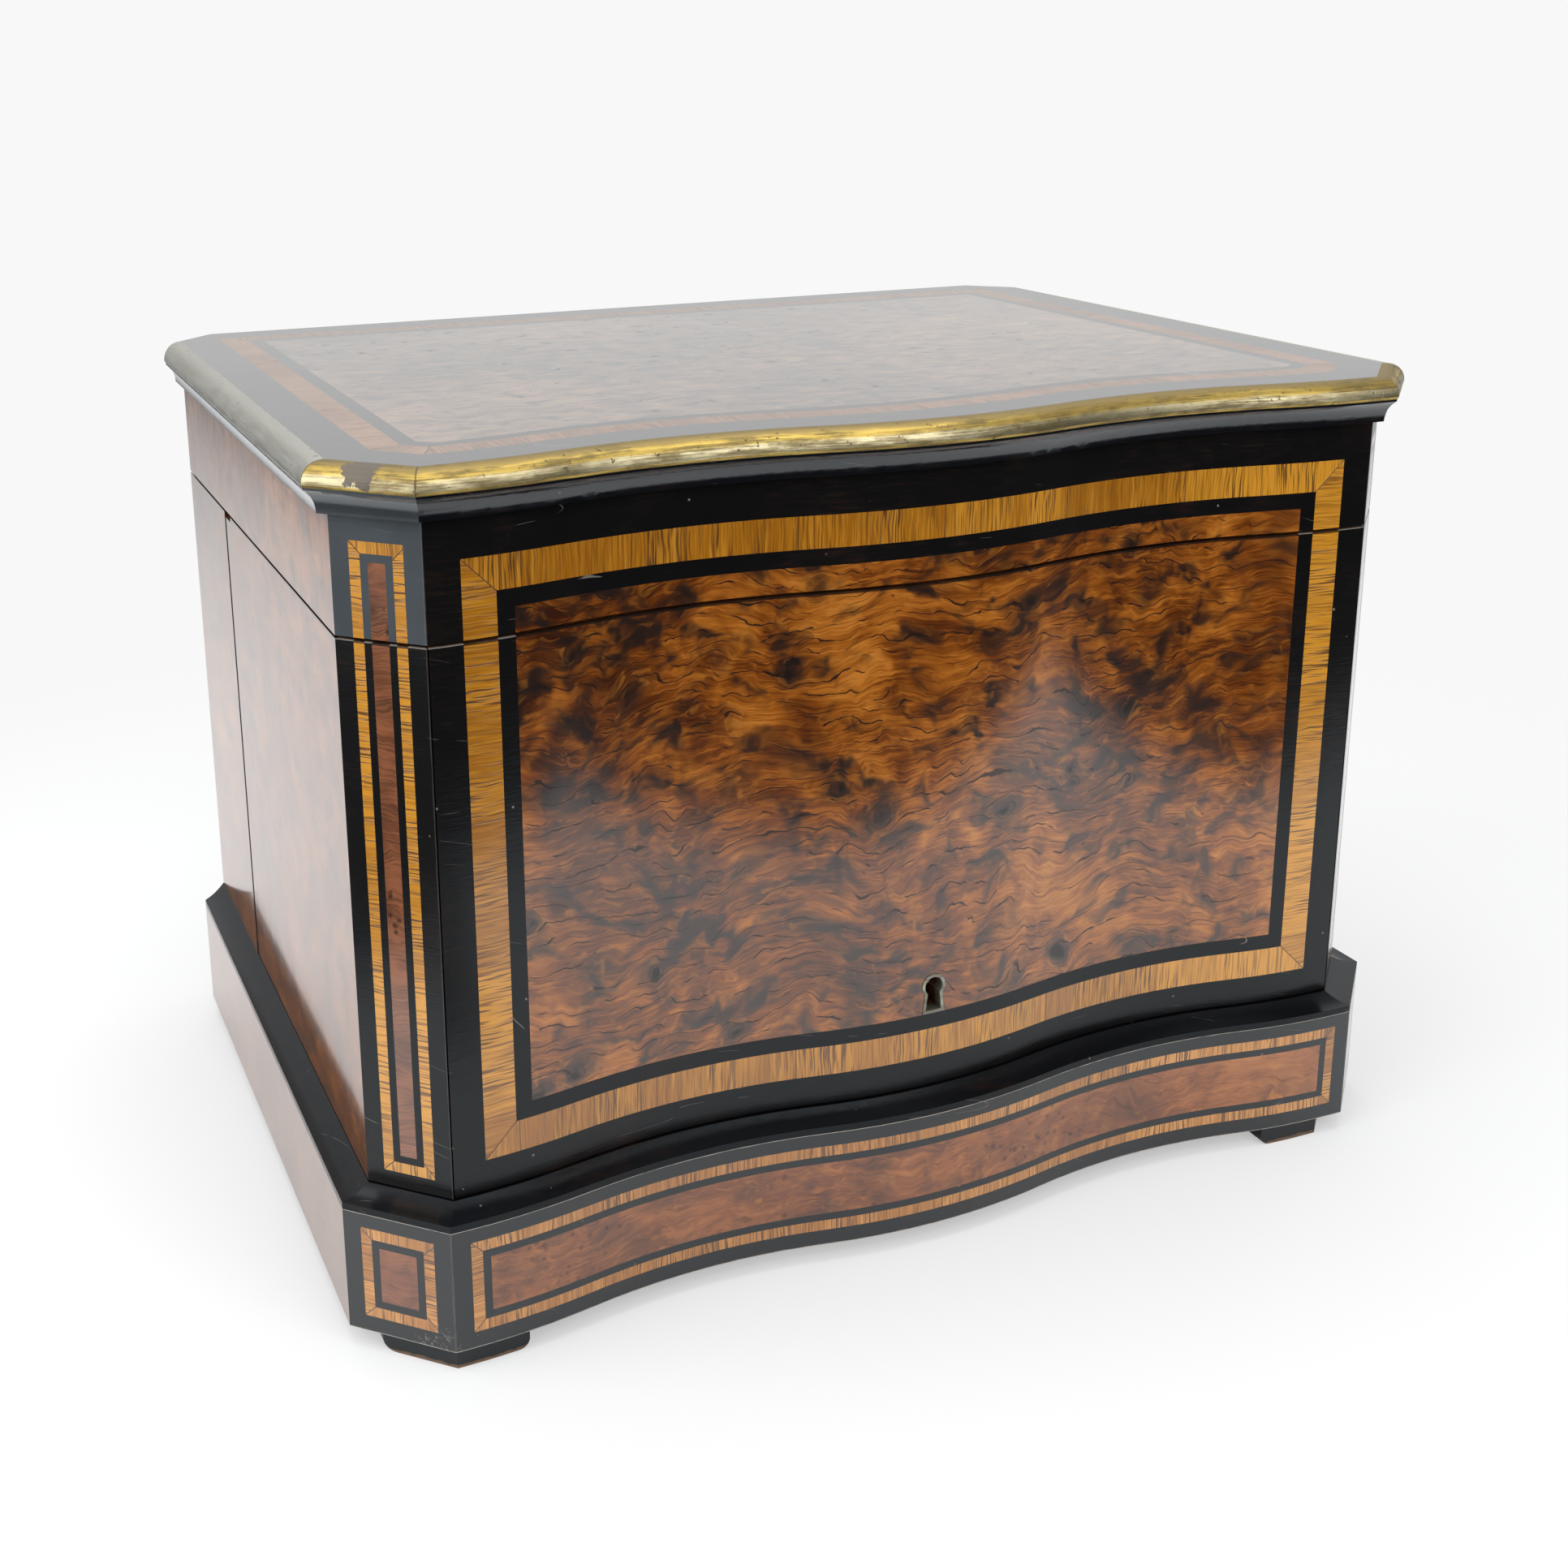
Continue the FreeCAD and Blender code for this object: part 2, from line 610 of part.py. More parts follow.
def case_parts():
    """Fixed walls of the case, the door pivots and the case half of the lid hinges."""
    inner = HALF_WIDTH - WALL
    back = box(-inner, inner, Y_BACK - WALL, Y_BACK, Z_BODY, Z_BELOW_SEAM)
    back = seated(back, LID_HINGES, False)
    swing = rod(V(-PIVOT_X, PIVOT_Y, Z_BODY), V(0, 0, 1), SWING_RADIUS + SWING_GAP, BODY_HEIGHT)
    y_edge = SIDE_SEAM_Y + SWING_GAP
    stile = plan_prism([(-HALF_WIDTH + VENEER, y_edge), (-inner, y_edge), (-inner, Y_BACK),
                        (-HALF_WIDTH + REAR_CHAMFER, Y_BACK), (-HALF_WIDTH + VENEER, Y_REAR + VENEER)],
                       Z_BODY, Z_BELOW_SEAM).cut(swing)
    stile = drilled(stile.cut(pivot_plate_blank()), pivot_screw_places(), V(0, 0, -1))
    veneer = plan_prism([(-HALF_WIDTH, y_edge), (-HALF_WIDTH + VENEER, y_edge),
                         (-HALF_WIDTH + VENEER, Y_REAR + VENEER), (-HALF_WIDTH, Y_REAR)],
                        Z_BODY, Z_BELOW_SEAM).cut(swing)
    screws = [screw(at, V(0, 0, -1)) for at in strike_screw_places()]
    screws += both_sides([screw(at, V(0, 0, -1)) for at in pivot_screw_places()])
    for hinge in LID_HINGES:
        screws += hinge.screws(False)
    return {
        "back_panel": [back],
        "rear_stiles": both_sides([stile]),
        "stile_veneers": both_sides([veneer]),
        "door_top_pivots": both_sides([top_pivot()]),
        "door_bottom_pivots": both_sides([bottom_pivot()]),
        "lid_hinge_case_leaves": [hinge.leaf(False, True) for hinge in LID_HINGES],
        "lid_hinge_pins": [hinge.pin() for hinge in LID_HINGES],
        "case_screws": screws,
    }


def pivot_plate_blank():
    """Plate let into the stile top, reaching over the door's pivot."""
    z0 = Z_BELOW_SEAM - PIVOT_PLATE
    end = PIVOT_Y + PIVOT_PLATE_LENGTH
    bar = box(-PIVOT_X - PIVOT_NECK, -PIVOT_X + PIVOT_NECK, PIVOT_Y, end, z0, Z_BELOW_SEAM)
    return fuse([bar, rod(V(-PIVOT_X, PIVOT_Y, z0), V(0, 0, 1), PIVOT_NECK, PIVOT_PLATE)])


def pivot_screw_places():
    """Head centres of the left pivot plate's screws."""
    first = PIVOT_Y + SWING_RADIUS + SWING_GAP + 2 * SCREW_HEAD_RADIUS
    last = PIVOT_Y + PIVOT_PLATE_LENGTH - 2 * SCREW_HEAD_RADIUS
    return [V(-PIVOT_X, y, Z_BELOW_SEAM) for y in (first, last)]


def top_pivot():
    """Left pivot plate with its pin."""
    pin_top = V(-PIVOT_X, PIVOT_Y, Z_BELOW_SEAM - PIVOT_PLATE - PIVOT_PIN_LENGTH)
    pin = rod(pin_top, V(0, 0, 1), PIVOT_PIN_RADIUS, PIVOT_PIN_LENGTH)
    return drilled(fuse([pivot_plate_blank(), pin]), pivot_screw_places(), V(0, 0, -1))


def bottom_pivot():
    """Left lower pin with the collar that carries the door."""
    base = V(-PIVOT_X, PIVOT_Y, Z_BODY - PIVOT_PIN_LENGTH)
    pin = rod(base, V(0, 0, 1), PIVOT_PIN_RADIUS, 2 * PIVOT_PIN_LENGTH)
    return fuse([pin, rod(V(-PIVOT_X, PIVOT_Y, Z_BODY), V(0, 0, 1), PIVOT_COLLAR_RADIUS, DOOR_FLOOR_GAP)])


def door_parts(side, flip):
    """Corner door: side panel, corner post, burl, crossband and ebonised border."""
    inner = HALF_WIDTH - WALL
    skin_x = HALF_WIDTH - VENEER
    skin_y = Y_CORNER + VENEER * MITRE
    depth = VENEER * DIAGONAL
    swing = rod(V(-PIVOT_X, PIVOT_Y, Z_DOOR), V(0, 0, 1), SWING_RADIUS, BODY_HEIGHT)
    tail = box(-HALF_WIDTH, -inner, SIDE_SEAM_Y, FAR, Z_DOOR, Z_BELOW_SEAM)
    straight = box(-HALF_WIDTH, -inner, Y_CORNER, SIDE_SEAM_Y, Z_DOOR, Z_BELOW_SEAM)
    whole = fuse([straight, tail.common(swing)])
    pivot_bore = fuse([
        rod(V(-PIVOT_X, PIVOT_Y, Z_BELOW_SEAM - PIVOT_PLATE - PIVOT_PIN_LENGTH - PIVOT_RELIEF), V(0, 0, 1),
            PIVOT_PIN_RADIUS + PIN_CLEARANCE, PIVOT_PIN_LENGTH * 2),
        rod(V(-PIVOT_X, PIVOT_Y, Z_BODY), V(0, 0, 1), PIVOT_PIN_RADIUS + PIN_CLEARANCE,
            PIVOT_PIN_LENGTH + PIVOT_RELIEF)])
    reach = PIVOT_NECK + PIVOT_RELIEF
    notch = box(-HALF_WIDTH, -PIVOT_X + reach, PIVOT_Y - reach, FAR,
                Z_BELOW_SEAM - PIVOT_PLATE - PIVOT_RELIEF, FAR)
    whole = whole.cut(notch)
    panel = whole.common(box(-skin_x, -inner, POST_BACK, FAR, 0, FAR)).cut(pivot_bore)
    skin_plan = [(-HALF_WIDTH, Y_CORNER), (-HALF_WIDTH, FAR), (-skin_x, FAR), (-skin_x, skin_y)]
    side_skin = whole.common(plan_prism(skin_plan, Z_DOOR, Z_BELOW_SEAM))
    post = plan_prism([(-ARRIS, Y_FRONT + depth), (-skin_x, skin_y), (-skin_x, POST_BACK),
                       (-inner, POST_BACK), (-ARRIS, Y_INNER)], Z_DOOR, Z_BELOW_SEAM)
    corner_skin = plan_prism([(-ARRIS, Y_FRONT), (-HALF_WIDTH, Y_CORNER), (-skin_x, skin_y),
                              (-ARRIS, Y_FRONT + depth)], Z_DOOR, Z_BELOW_SEAM)
    inlay = corner_inlay()
    pieces = {
        "side_panel": [panel],
        "corner_post": [post],
        "door_burl": [side_skin] + inlay.burl(corner_skin),
        "door_crossband": inlay.crossband(corner_skin),
        "door_ebony": inlay.ebony(corner_skin),
    }
    if flip:
        pieces = {name: [mirrored(shape) for shape in shapes] for name, shapes in pieces.items()}
    return {side + "_" + name: shapes for name, shapes in pieces.items()}


def corner_inlay():
    """Inlay of the cut corner over door and lid."""
    border = (CORNER_BORDER_SIDE, CORNER_BORDER_SIDE, CORNER_BORDER_BOTTOM, CORNER_BORDER_TOP)
    rect = (0.0, FRONT_CHAMFER * DIAGONAL, Z_DOOR, Z_CAVETTO)
    return Inlay(CORNER_FACING, rect, border, CORNER_BAND, CORNER_LINE)


def front_inlay():
    """Inlay of the serpentine front over flap and lid."""
    border = (FRONT_BORDER_SIDE, FRONT_BORDER_SIDE, FRONT_BORDER_BOTTOM, FRONT_BORDER_TOP)
    return Inlay(FRONT_FACING, (-ARRIS, ARRIS, Z_FLAP, Z_CAVETTO), border, FRONT_BAND, FRONT_LINE)


def keyhole(grow, y0, y1):
    """Keyhole opening grown by a rim, from y0 to y1."""
    head = rod(V(0, y0, Z_KEYHOLE), V(0, 1, 0), KEYHOLE_RADIUS + grow, y1 - y0)
    foot = Z_KEYHOLE - KEYHOLE_DROP - grow
    neck = KEYHOLE_NECK + grow
    wide = KEYHOLE_FOOT + grow
    points = [(-neck, Z_KEYHOLE), (-wide, foot), (wide, foot), (neck, Z_KEYHOLE)]
    return fuse([head, prism([V(x, y0, z) for x, z in points], V(0, y1 - y0, 0))])


def bolt_middle_y():
    """Middle of the bolt's thickness."""
    return Y_INNER - LOCK_WALL - BOLT_CLEARANCE - BOLT_THICKNESS / 2


def strike_pocket():
    """Recess of the strike plate in the bottom board."""
    y = bolt_middle_y()
    return box(-STRIKE_LENGTH / 2, STRIKE_LENGTH / 2, y - STRIKE_WIDTH / 2, y + STRIKE_WIDTH / 2,
               Z_BODY - STRIKE_THICKNESS, Z_BODY)


def strike_slot(z0):
    """Slot that takes the bolt."""
    y = bolt_middle_y()
    half = BOLT_WIDTH / 2 + 2 * BOLT_CLEARANCE
    depth = BOLT_THICKNESS / 2 + 2 * BOLT_CLEARANCE
    return box(-half, half, y - depth, y + depth, z0, Z_FLAP)


def strike_screw_places():
    """Head centres of the strike plate's two screws."""
    x = (STRIKE_LENGTH + BOLT_WIDTH) / 4
    return [V(sign * x, bolt_middle_y(), Z_BODY) for sign in (-1, 1)]


def strike_plate():
    """Plate under the flap with the bolt's slot."""
    plate = strike_pocket().cut(strike_slot(Z_BOARD))
    return drilled(plate, strike_screw_places(), V(0, 0, -1))


def cover_screw_places():
    """Head centres of the four screws in the lock cover."""
    x = LOCK_WIDTH / 2 + COVER_MARGIN / 2
    levels = (Z_FLAP + COVER_MARGIN, Z_FLAP + LOCK_HEIGHT - COVER_MARGIN)
    return [V(sign * x, Y_INNER, z) for sign in (-1, 1) for z in levels]


def lock_parts():
    """Lock case, cover and drill pin on the flap, and the sliding bolt."""
    half = LOCK_WIDTH / 2
    y0 = Y_INNER - LOCK_DEPTH
    y_cover = Y_INNER - LOCK_WALL
    z_top = Z_FLAP + LOCK_HEIGHT
    shell = box(-half, half, y0, y_cover, Z_FLAP, z_top)
    shell = shell.cut(box(-half + LOCK_WALL, half - LOCK_WALL, y0 + LOCK_WALL, y_cover,
                          Z_FLAP + LOCK_WALL, z_top - LOCK_WALL))
    y_bolt = bolt_middle_y()
    slot_x = BOLT_WIDTH / 2 + BOLT_CLEARANCE
    slot_y = BOLT_THICKNESS / 2 + BOLT_CLEARANCE
    slot = box(-slot_x, slot_x, y_bolt - slot_y, y_cover, 0, Z_FLAP + 2 * LOCK_WALL)
    shell = shell.cut(slot).cut(keyhole(0.0, y0 - LOCK_WALL, y0 + 2 * LOCK_WALL))
    wide = half + COVER_MARGIN
    cover = box(-wide, wide, y_cover, Y_INNER, Z_FLAP, z_top + COVER_MARGIN)
    cover = drilled(cover, cover_screw_places(), V(0, -1, 0))
    y_pin = Y_FRONT + DRILL_PIN_SETBACK
    drill_pin = rod(V(0, y_pin, Z_KEYHOLE), V(0, 1, 0), DRILL_PIN_RADIUS, y_cover - y_pin)

    y_near = y_bolt - BOLT_THICKNESS / 2
    y_far = y_bolt + BOLT_THICKNESS / 2
    z_tip = Z_FLAP + BOLT_CLEARANCE
    z_step = Z_FLAP + LOCK_WALL + BOLT_THROW + BOLT_CLEARANCE
    z_end = z_step + BOLT_BODY_HEIGHT
    body = BOLT_BODY_WIDTH / 2
    bolt = fuse([box(-BOLT_WIDTH / 2, BOLT_WIDTH / 2, y_near, y_far, z_tip, z_end),
                 box(-body, body, y_near, y_far, z_step, z_end)])
    bolt = bolt.cut(rod(V(0, y_near, z_end), V(0, 1, 0), TALON_RADIUS, BOLT_THICKNESS))
    return {"lock_case": [shell, drill_pin], "lock_cover": [cover], "lock_bolt": [bolt]}


def flap_parts():
    """Front flap with its inlay, escutcheon and hinge leaves."""
    panel = front_slab(FLAP_HALF, VENEER, Y_INNER, Z_FLAP, Z_BELOW_SEAM)
    panel = seated(panel, FLAP_HINGES, False)
    half = LOCK_WIDTH / 2
    wide = half + COVER_MARGIN
    z_top = Z_FLAP + LOCK_HEIGHT
    panel = panel.cut(box(-half, half, Y_INNER - LOCK_DEPTH, Y_INNER, Z_FLAP, z_top))
    panel = panel.cut(box(-wide, wide, Y_INNER - LOCK_WALL, Y_INNER, Z_FLAP, z_top + COVER_MARGIN))
    panel = drilled(panel, cover_screw_places(), V(0, -1, 0))
    y_seat = Y_FRONT + ESCUTCHEON_DEPTH
    plate = keyhole(ESCUTCHEON_RIM, Y_FRONT - ESCUTCHEON_PROUD, y_seat)
    opening = keyhole(0.0, Y_FRONT - ESCUTCHEON_PROUD, Y_INNER - LOCK_DEPTH)
    panel = panel.cut(plate).cut(opening)
    sheet = front_sheet(FLAP_HALF, 0.0, VENEER, Z_FLAP, Z_BELOW_SEAM).cut(plate)
    inlay = front_inlay()
    screws = [screw(at, V(0, -1, 0)) for at in cover_screw_places()]
    for hinge in FLAP_HINGES:
        screws += hinge.screws(False)
    return {
        "flap_panel": [panel],
        "flap_burl": inlay.burl(sheet),
        "flap_crossband": inlay.crossband(sheet),
        "flap_ebony": inlay.ebony(sheet),
        "keyhole_escutcheon": [plate.cut(opening)],
        "flap_hinge_flap_leaves": [hinge.leaf(False, False) for hinge in FLAP_HINGES],
        "flap_screws": screws,
    }


def lid_parts():
    """Lid rails, top board, mouldings, rim inlay and the lid leaves of both hinge pairs."""
    rim = fuse([block(-VENEER, Z_SEAM, Z_CAVETTO), block(-CAVETTO_SEAT, Z_CAVETTO, Z_LID_BOARD)])
    y_back_rail = Y_BACK - WALL
    inner = HALF_WIDTH - WALL
    front_rail = seated(rim.common(box(-FAR, FAR, -FAR, Y_INNER, 0, FAR)), FLAP_HINGES, True)
    back_rail = seated(rim.common(box(-FAR, FAR, y_back_rail, FAR, 0, FAR)), LID_HINGES, True)
    left_rail = rim.common(box(-FAR, -inner, Y_INNER, y_back_rail, 0, FAR))

    hollow = ((CAVETTO_STEP + CAVETTO_SAG, Z_CAVETTO + CAVETTO_HEIGHT / 2),
              (CAVETTO_PROJECTION, Z_LID_BOARD - CAVETTO_LIP))
    cavetto = [(-CAVETTO_SEAT, Z_CAVETTO), (CAVETTO_STEP, Z_CAVETTO), hollow,
               (CAVETTO_PROJECTION, Z_LID_BOARD), (-CAVETTO_SEAT, Z_LID_BOARD)]
    radius = BRASS_HEIGHT - BRASS_LIP
    nose = LID_PROJECTION - radius
    crest = radius / DIAGONAL
    z_lip = Z_LID_BOARD + BRASS_LIP
    edge = LID_PROJECTION - BRASS_DEPTH
    thumb = [(edge, Z_LID_BOARD), (LID_PROJECTION - BRASS_RETURN, Z_LID_BOARD), (LID_PROJECTION, z_lip),
             ((nose + crest, z_lip + crest), (nose, Z_TOP)), (edge, Z_TOP)]

    skin = block(0.0, Z_SEAM, Z_CAVETTO).cut(block(-VENEER, Z_SEAM, Z_CAVETTO))
    front_skin = skin.common(front_zone(Z_SEAM, Z_CAVETTO))
    corner_skin = skin.common(corner_zone(Z_SEAM, Z_CAVETTO))
    side_skin = skin.common(side_zone(Z_SEAM, Z_CAVETTO))
    front = front_inlay()
    corner = corner_inlay()
    screws = []
    for hinge in LID_HINGES + FLAP_HINGES:
        screws += hinge.screws(True)
    return {
        "lid_top_board": [block(edge, Z_LID_BOARD, Z_TOP - VENEER)],
        "lid_front_rail": [front_rail],
        "lid_side_rails": both_sides([left_rail]),
        "lid_back_rail": [back_rail],
        "lid_cavetto": moulding(cavetto, Z_CAVETTO, Z_LID_BOARD),
        "lid_brass_moulding": moulding(thumb, Z_LID_BOARD, Z_TOP),
        "lid_rim_burl": front.burl(front_skin) + both_sides(corner.burl(corner_skin) + [side_skin]),
        "lid_rim_crossband": front.crossband(front_skin) + both_sides(corner.crossband(corner_skin)),
        "lid_rim_ebony": front.ebony(front_skin) + both_sides(corner.ebony(corner_skin)),
        "lid_hinge_lid_leaves": [hinge.leaf(True, False) for hinge in LID_HINGES],
        "flap_hinge_lid_leaves": [hinge.leaf(True, True) for hinge in FLAP_HINGES],
        "flap_hinge_pins": [hinge.pin() for hinge in FLAP_HINGES],
        "lid_screws": screws,
    }


def top_parts():
    """Inlay of the lid top: its strips follow the serpentine and the cut corners."""
    edge = LID_PROJECTION - BRASS_DEPTH
    z0 = Z_TOP - VENEER

    def region(inset):
        """Plan of the inlay drawn in from the body's outline."""
        return block(-inset, z0, Z_TOP).common(box(-FAR, FAR, -FAR, Y_BACK - inset, 0, FAR))

    band = region(TOP_BORDER)
    line = region(TOP_BORDER + TOP_BAND)
    field = region(TOP_BORDER + TOP_BAND + TOP_LINE)
    ring = band.cut(line)
    reach = TOP_BORDER + TOP_BAND + TOP_LINE
    front_wedge = front_zone(z0, Z_TOP, reach + SERPENTINE_DEPTH)
    corner_wedges = both_sides([corner_zone(z0, Z_TOP, reach)])
    back_wedge = plan_prism([(-HALF_WIDTH, Y_BACK), (HALF_WIDTH, Y_BACK),
                             (HALF_WIDTH - reach, Y_BACK - reach), (reach - HALF_WIDTH, Y_BACK - reach)],
                            z0, Z_TOP)
    wedges = [front_wedge, back_wedge] + corner_wedges
    strips = solids_of(ring.cut(wedges))
    for wedge in wedges:
        strips += solids_of(ring.common(wedge))
    border = block(edge, z0, Z_TOP).cut(band)
    return {
        "lid_top_burl": [field],
        "lid_top_crossband": strips,
        "lid_top_ebony": solids_of(border) + solids_of(line.cut(field)),
    }


def lathe(path):
    """Solid of revolution about z from (radius, z) points, with a pair of points for an arc."""
    return Part.Face(profile_wire(path, V(0, 0, 0), V(1, 0, 0))).revolve(V(0, 0, 0), V(0, 0, 1), 360)


def decanter():
    """Round decanter with shoulder, neck and turned-out lip."""
    neck_bore = DECANTER_NECK_RADIUS - DECANTER_WALL
    shoulder = (DECANTER_RADIUS + DECANTER_NECK_RADIUS) / 2
    rise = (DECANTER_SHOULDER + DECANTER_NECK_START) / 2
    bulge = (DECANTER_RADIUS - DECANTER_NECK_RADIUS) / 4
    lip = DECANTER_HEIGHT - DECANTER_LIP
    inside = DECANTER_RADIUS - DECANTER_WALL
    outer_turn = ((shoulder + bulge, rise + bulge), (DECANTER_NECK_RADIUS, DECANTER_NECK_START))
    inner_turn = ((shoulder + bulge - DECANTER_WALL, rise + bulge - DECANTER_WALL),
                  (inside, DECANTER_SHOULDER - DECANTER_WALL))
    path = [(0.0, 0.0), (DECANTER_RADIUS, 0.0), (DECANTER_RADIUS, DECANTER_SHOULDER), outer_turn,
            (DECANTER_NECK_RADIUS, lip - DECANTER_LIP), (DECANTER_LIP_RADIUS, lip),
            (DECANTER_LIP_RADIUS, DECANTER_HEIGHT), (neck_bore, DECANTER_HEIGHT),
            (neck_bore - STOPPER_TAPER, DECANTER_HEIGHT - STOPPER_PLUG),
            (neck_bore - STOPPER_TAPER, DECANTER_NECK_START - DECANTER_WALL), inner_turn,
            (inside, DECANTER_BASE), (0.0, DECANTER_BASE)]
    return lathe(path)


def stopper():
    """Ball stopper whose collar rests on the lip."""
    top = DECANTER_NECK_RADIUS - DECANTER_WALL - STOPPER_CLEARANCE
    collar = DECANTER_HEIGHT + STOPPER_COLLAR
    stem = collar + STOPPER_STEM
    low = DECANTER_HEIGHT - STOPPER_PLUG
    plug = lathe([(0.0, low), (top - STOPPER_TAPER, low), (top, DECANTER_HEIGHT),
                  (STOPPER_COLLAR_RADIUS, DECANTER_HEIGHT),
                  (STOPPER_COLLAR_RADIUS, collar), (STOPPER_STEM_RADIUS, collar),
                  (STOPPER_STEM_RADIUS, stem), (0.0, stem)])
    sink = STOPPER_BALL_RADIUS - math.sqrt(STOPPER_BALL_RADIUS ** 2 - STOPPER_STEM_RADIUS ** 2)
    ball = Part.makeSphere(STOPPER_BALL_RADIUS, V(0, 0, stem + STOPPER_BALL_RADIUS - sink - STOPPER_STEM / 4))
    return fuse([plug, ball])


def glass():
    """Small stemmed glass."""
    bowl = GLASS_STEM + GLASS_FOOT
    swell = (GLASS_RADIUS, bowl + GLASS_RADIUS)
    turn = GLASS_RADIUS * (1 - 1 / DIAGONAL)
    inside = GLASS_RADIUS - GLASS_WALL
    base = bowl + GLASS_BOWL_BASE
    inner_swell = (inside, base + inside)
    inner_turn = inside * (1 - 1 / DIAGONAL)
    stem_top = bowl + turn * GLASS_STEM_RADIUS / GLASS_RADIUS
    path = [(0.0, 0.0), (GLASS_FOOT_RADIUS, 0.0), (GLASS_FOOT_RADIUS, GLASS_FOOT / 2),
            (GLASS_STEM_RADIUS, 2 * GLASS_FOOT), (GLASS_STEM_RADIUS, stem_top),
            ((GLASS_RADIUS - turn, bowl + turn), swell), (GLASS_RADIUS, GLASS_HEIGHT),
            (inside, GLASS_HEIGHT), inner_swell, ((inside - inner_turn, base + inner_turn), (0.0, base))]
    return lathe(path)


def tray_parts():
    """Tray board, gallery, pierced deck, handle and the glassware that stands in it."""
    half = HALF_WIDTH - WALL - TRAY_SIDE_GAP
    y0 = Y_INNER + TRAY_SETBACK
    y1 = Y_BACK - WALL - TRAY_BACK_GAP
    y_middle = (y0 + y1) / 2
    z_floor = Z_BODY + TRAY_BOARD
    z_deck = z_floor + GALLERY_HEIGHT
    z_deck_top = z_deck + DECK
    board = box(-half, half, y0, y1, Z_BODY, z_floor)
    walls = [box(-half, half, y0, y0 + GALLERY_WALL, z_floor, z_deck),
             box(-half, half, y1 - GALLERY_WALL, y1, z_floor, z_deck)]
    walls += both_sides([box(-half, -half + GALLERY_WALL, y0 + GALLERY_WALL, y1 - GALLERY_WALL,
                             z_floor, z_deck)])
    pitch = DECANTER_PITCH / 2
    decanter_places = [V(x, y_middle + y, z_floor) for x in (-pitch, pitch) for y in (-pitch, pitch)]
    first = pitch + DECANTER_RADIUS + DECK_CLEARANCE + GLASS_RADIUS + GALLERY_WALL / 2
    glass_places = []
    for column in range(GLASS_COLUMNS):
        for row in range(GLASS_ROWS):
            y = y_middle + (row - (GLASS_ROWS - 1) / 2) * GLASS_ROW_PITCH
            glass_places.append(V(-first - column * GLASS_COLUMN_PITCH, y, z_floor))
    deck = box(-half, half, y0, y1, z_deck, z_deck_top)
    for at in decanter_places:
        deck = deck.cut(rod(V(at.x, at.y, 0), V(0, 0, 1), DECANTER_RADIUS + DECK_CLEARANCE, FAR))
    for at in glass_places:
        for sign in (-1, 1):
            deck = deck.cut(rod(V(sign * at.x, at.y, 0), V(0, 0, 1), GLASS_RADIUS + DECK_CLEARANCE, FAR))

    z_loop = z_deck_top + HANDLE_HEIGHT
    loop_start = V(-HANDLE_RADIUS, y_middle, z_loop)
    loop = Part.Face(Part.Wire(Part.makeCircle(HANDLE_WIRE_RADIUS, loop_start, V(0, 0, 1))))
    loop = loop.revolve(V(0, y_middle, z_loop), V(0, 1, 0), 180)
    bar = rod(loop_start - V(HANDLE_WIRE_RADIUS, 0, 0), V(1, 0, 0), HANDLE_WIRE_RADIUS,
              2 * (HANDLE_RADIUS + HANDLE_WIRE_RADIUS))
    post = rod(V(0, y_middle, z_deck_top), V(0, 0, 1), HANDLE_ROD_RADIUS, HANDLE_HEIGHT)
    flange = rod(V(0, y_middle, z_deck_top), V(0, 0, 1), HANDLE_FLANGE_RADIUS, HANDLE_FLANGE)
    return {
        "tray_board": [board],
        "tray_gallery": walls,
        "tray_deck": [deck],
        "tray_handle": [fuse([post, flange, bar, loop])],
        "decanters": [decanter().translated(at) for at in decanter_places],
        "stoppers": [stopper().translated(at) for at in decanter_places],
        "glasses": both_sides([glass().translated(at) for at in glass_places]),
    }


def main():
    """Build every piece and write one file per node."""
    os.makedirs("parts", exist_ok=True)
    nodes = {}
    nodes.update(plinth_parts())
    nodes.update(case_parts())
    nodes.update(tray_parts())
    nodes.update(lid_parts())
    nodes.update(top_parts())
    nodes.update(flap_parts())
    nodes.update(lock_parts())
    nodes.update(door_parts("left", False))
    nodes.update(door_parts("right", True))
    for name, shapes in nodes.items():
        solids = [solid for shape in shapes for solid in shape.Solids]
        node = solids[0] if len(solids) == 1 else Part.makeCompound(solids)
        node.exportStep("parts/" + name + ".step")
        print(name, len(solids), "solids", round(node.Volume, 1), "valid" if node.isValid() else "INVALID")
    print(len(nodes), "nodes")


main()
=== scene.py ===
"""Looks of the serpentine liquor case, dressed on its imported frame."""
import logging
import math
from dataclasses import dataclass
from enum import Enum
from typing import Callable, Optional, Union

import bpy
import bmesh
from mathutils import Matrix, Vector


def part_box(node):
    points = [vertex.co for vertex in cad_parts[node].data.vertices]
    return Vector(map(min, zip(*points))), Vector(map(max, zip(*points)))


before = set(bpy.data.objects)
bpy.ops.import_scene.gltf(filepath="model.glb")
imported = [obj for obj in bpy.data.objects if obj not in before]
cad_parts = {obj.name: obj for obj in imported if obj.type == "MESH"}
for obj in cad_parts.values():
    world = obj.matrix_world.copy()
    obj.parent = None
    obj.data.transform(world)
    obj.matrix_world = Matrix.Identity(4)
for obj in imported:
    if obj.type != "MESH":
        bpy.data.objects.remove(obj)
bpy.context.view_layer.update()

LOG = logging.getLogger("liquor_case")
MM = 0.001
PER_METRE = 1000.0
DIAGONAL = math.sqrt(2.0)
POLISH_IOR = 1.5

# How far a surface faces sideways where the cut corners and the sides begin.
CORNER_TURN = (0.40, 0.50)
SIDE_TURN = (0.90, 0.96)

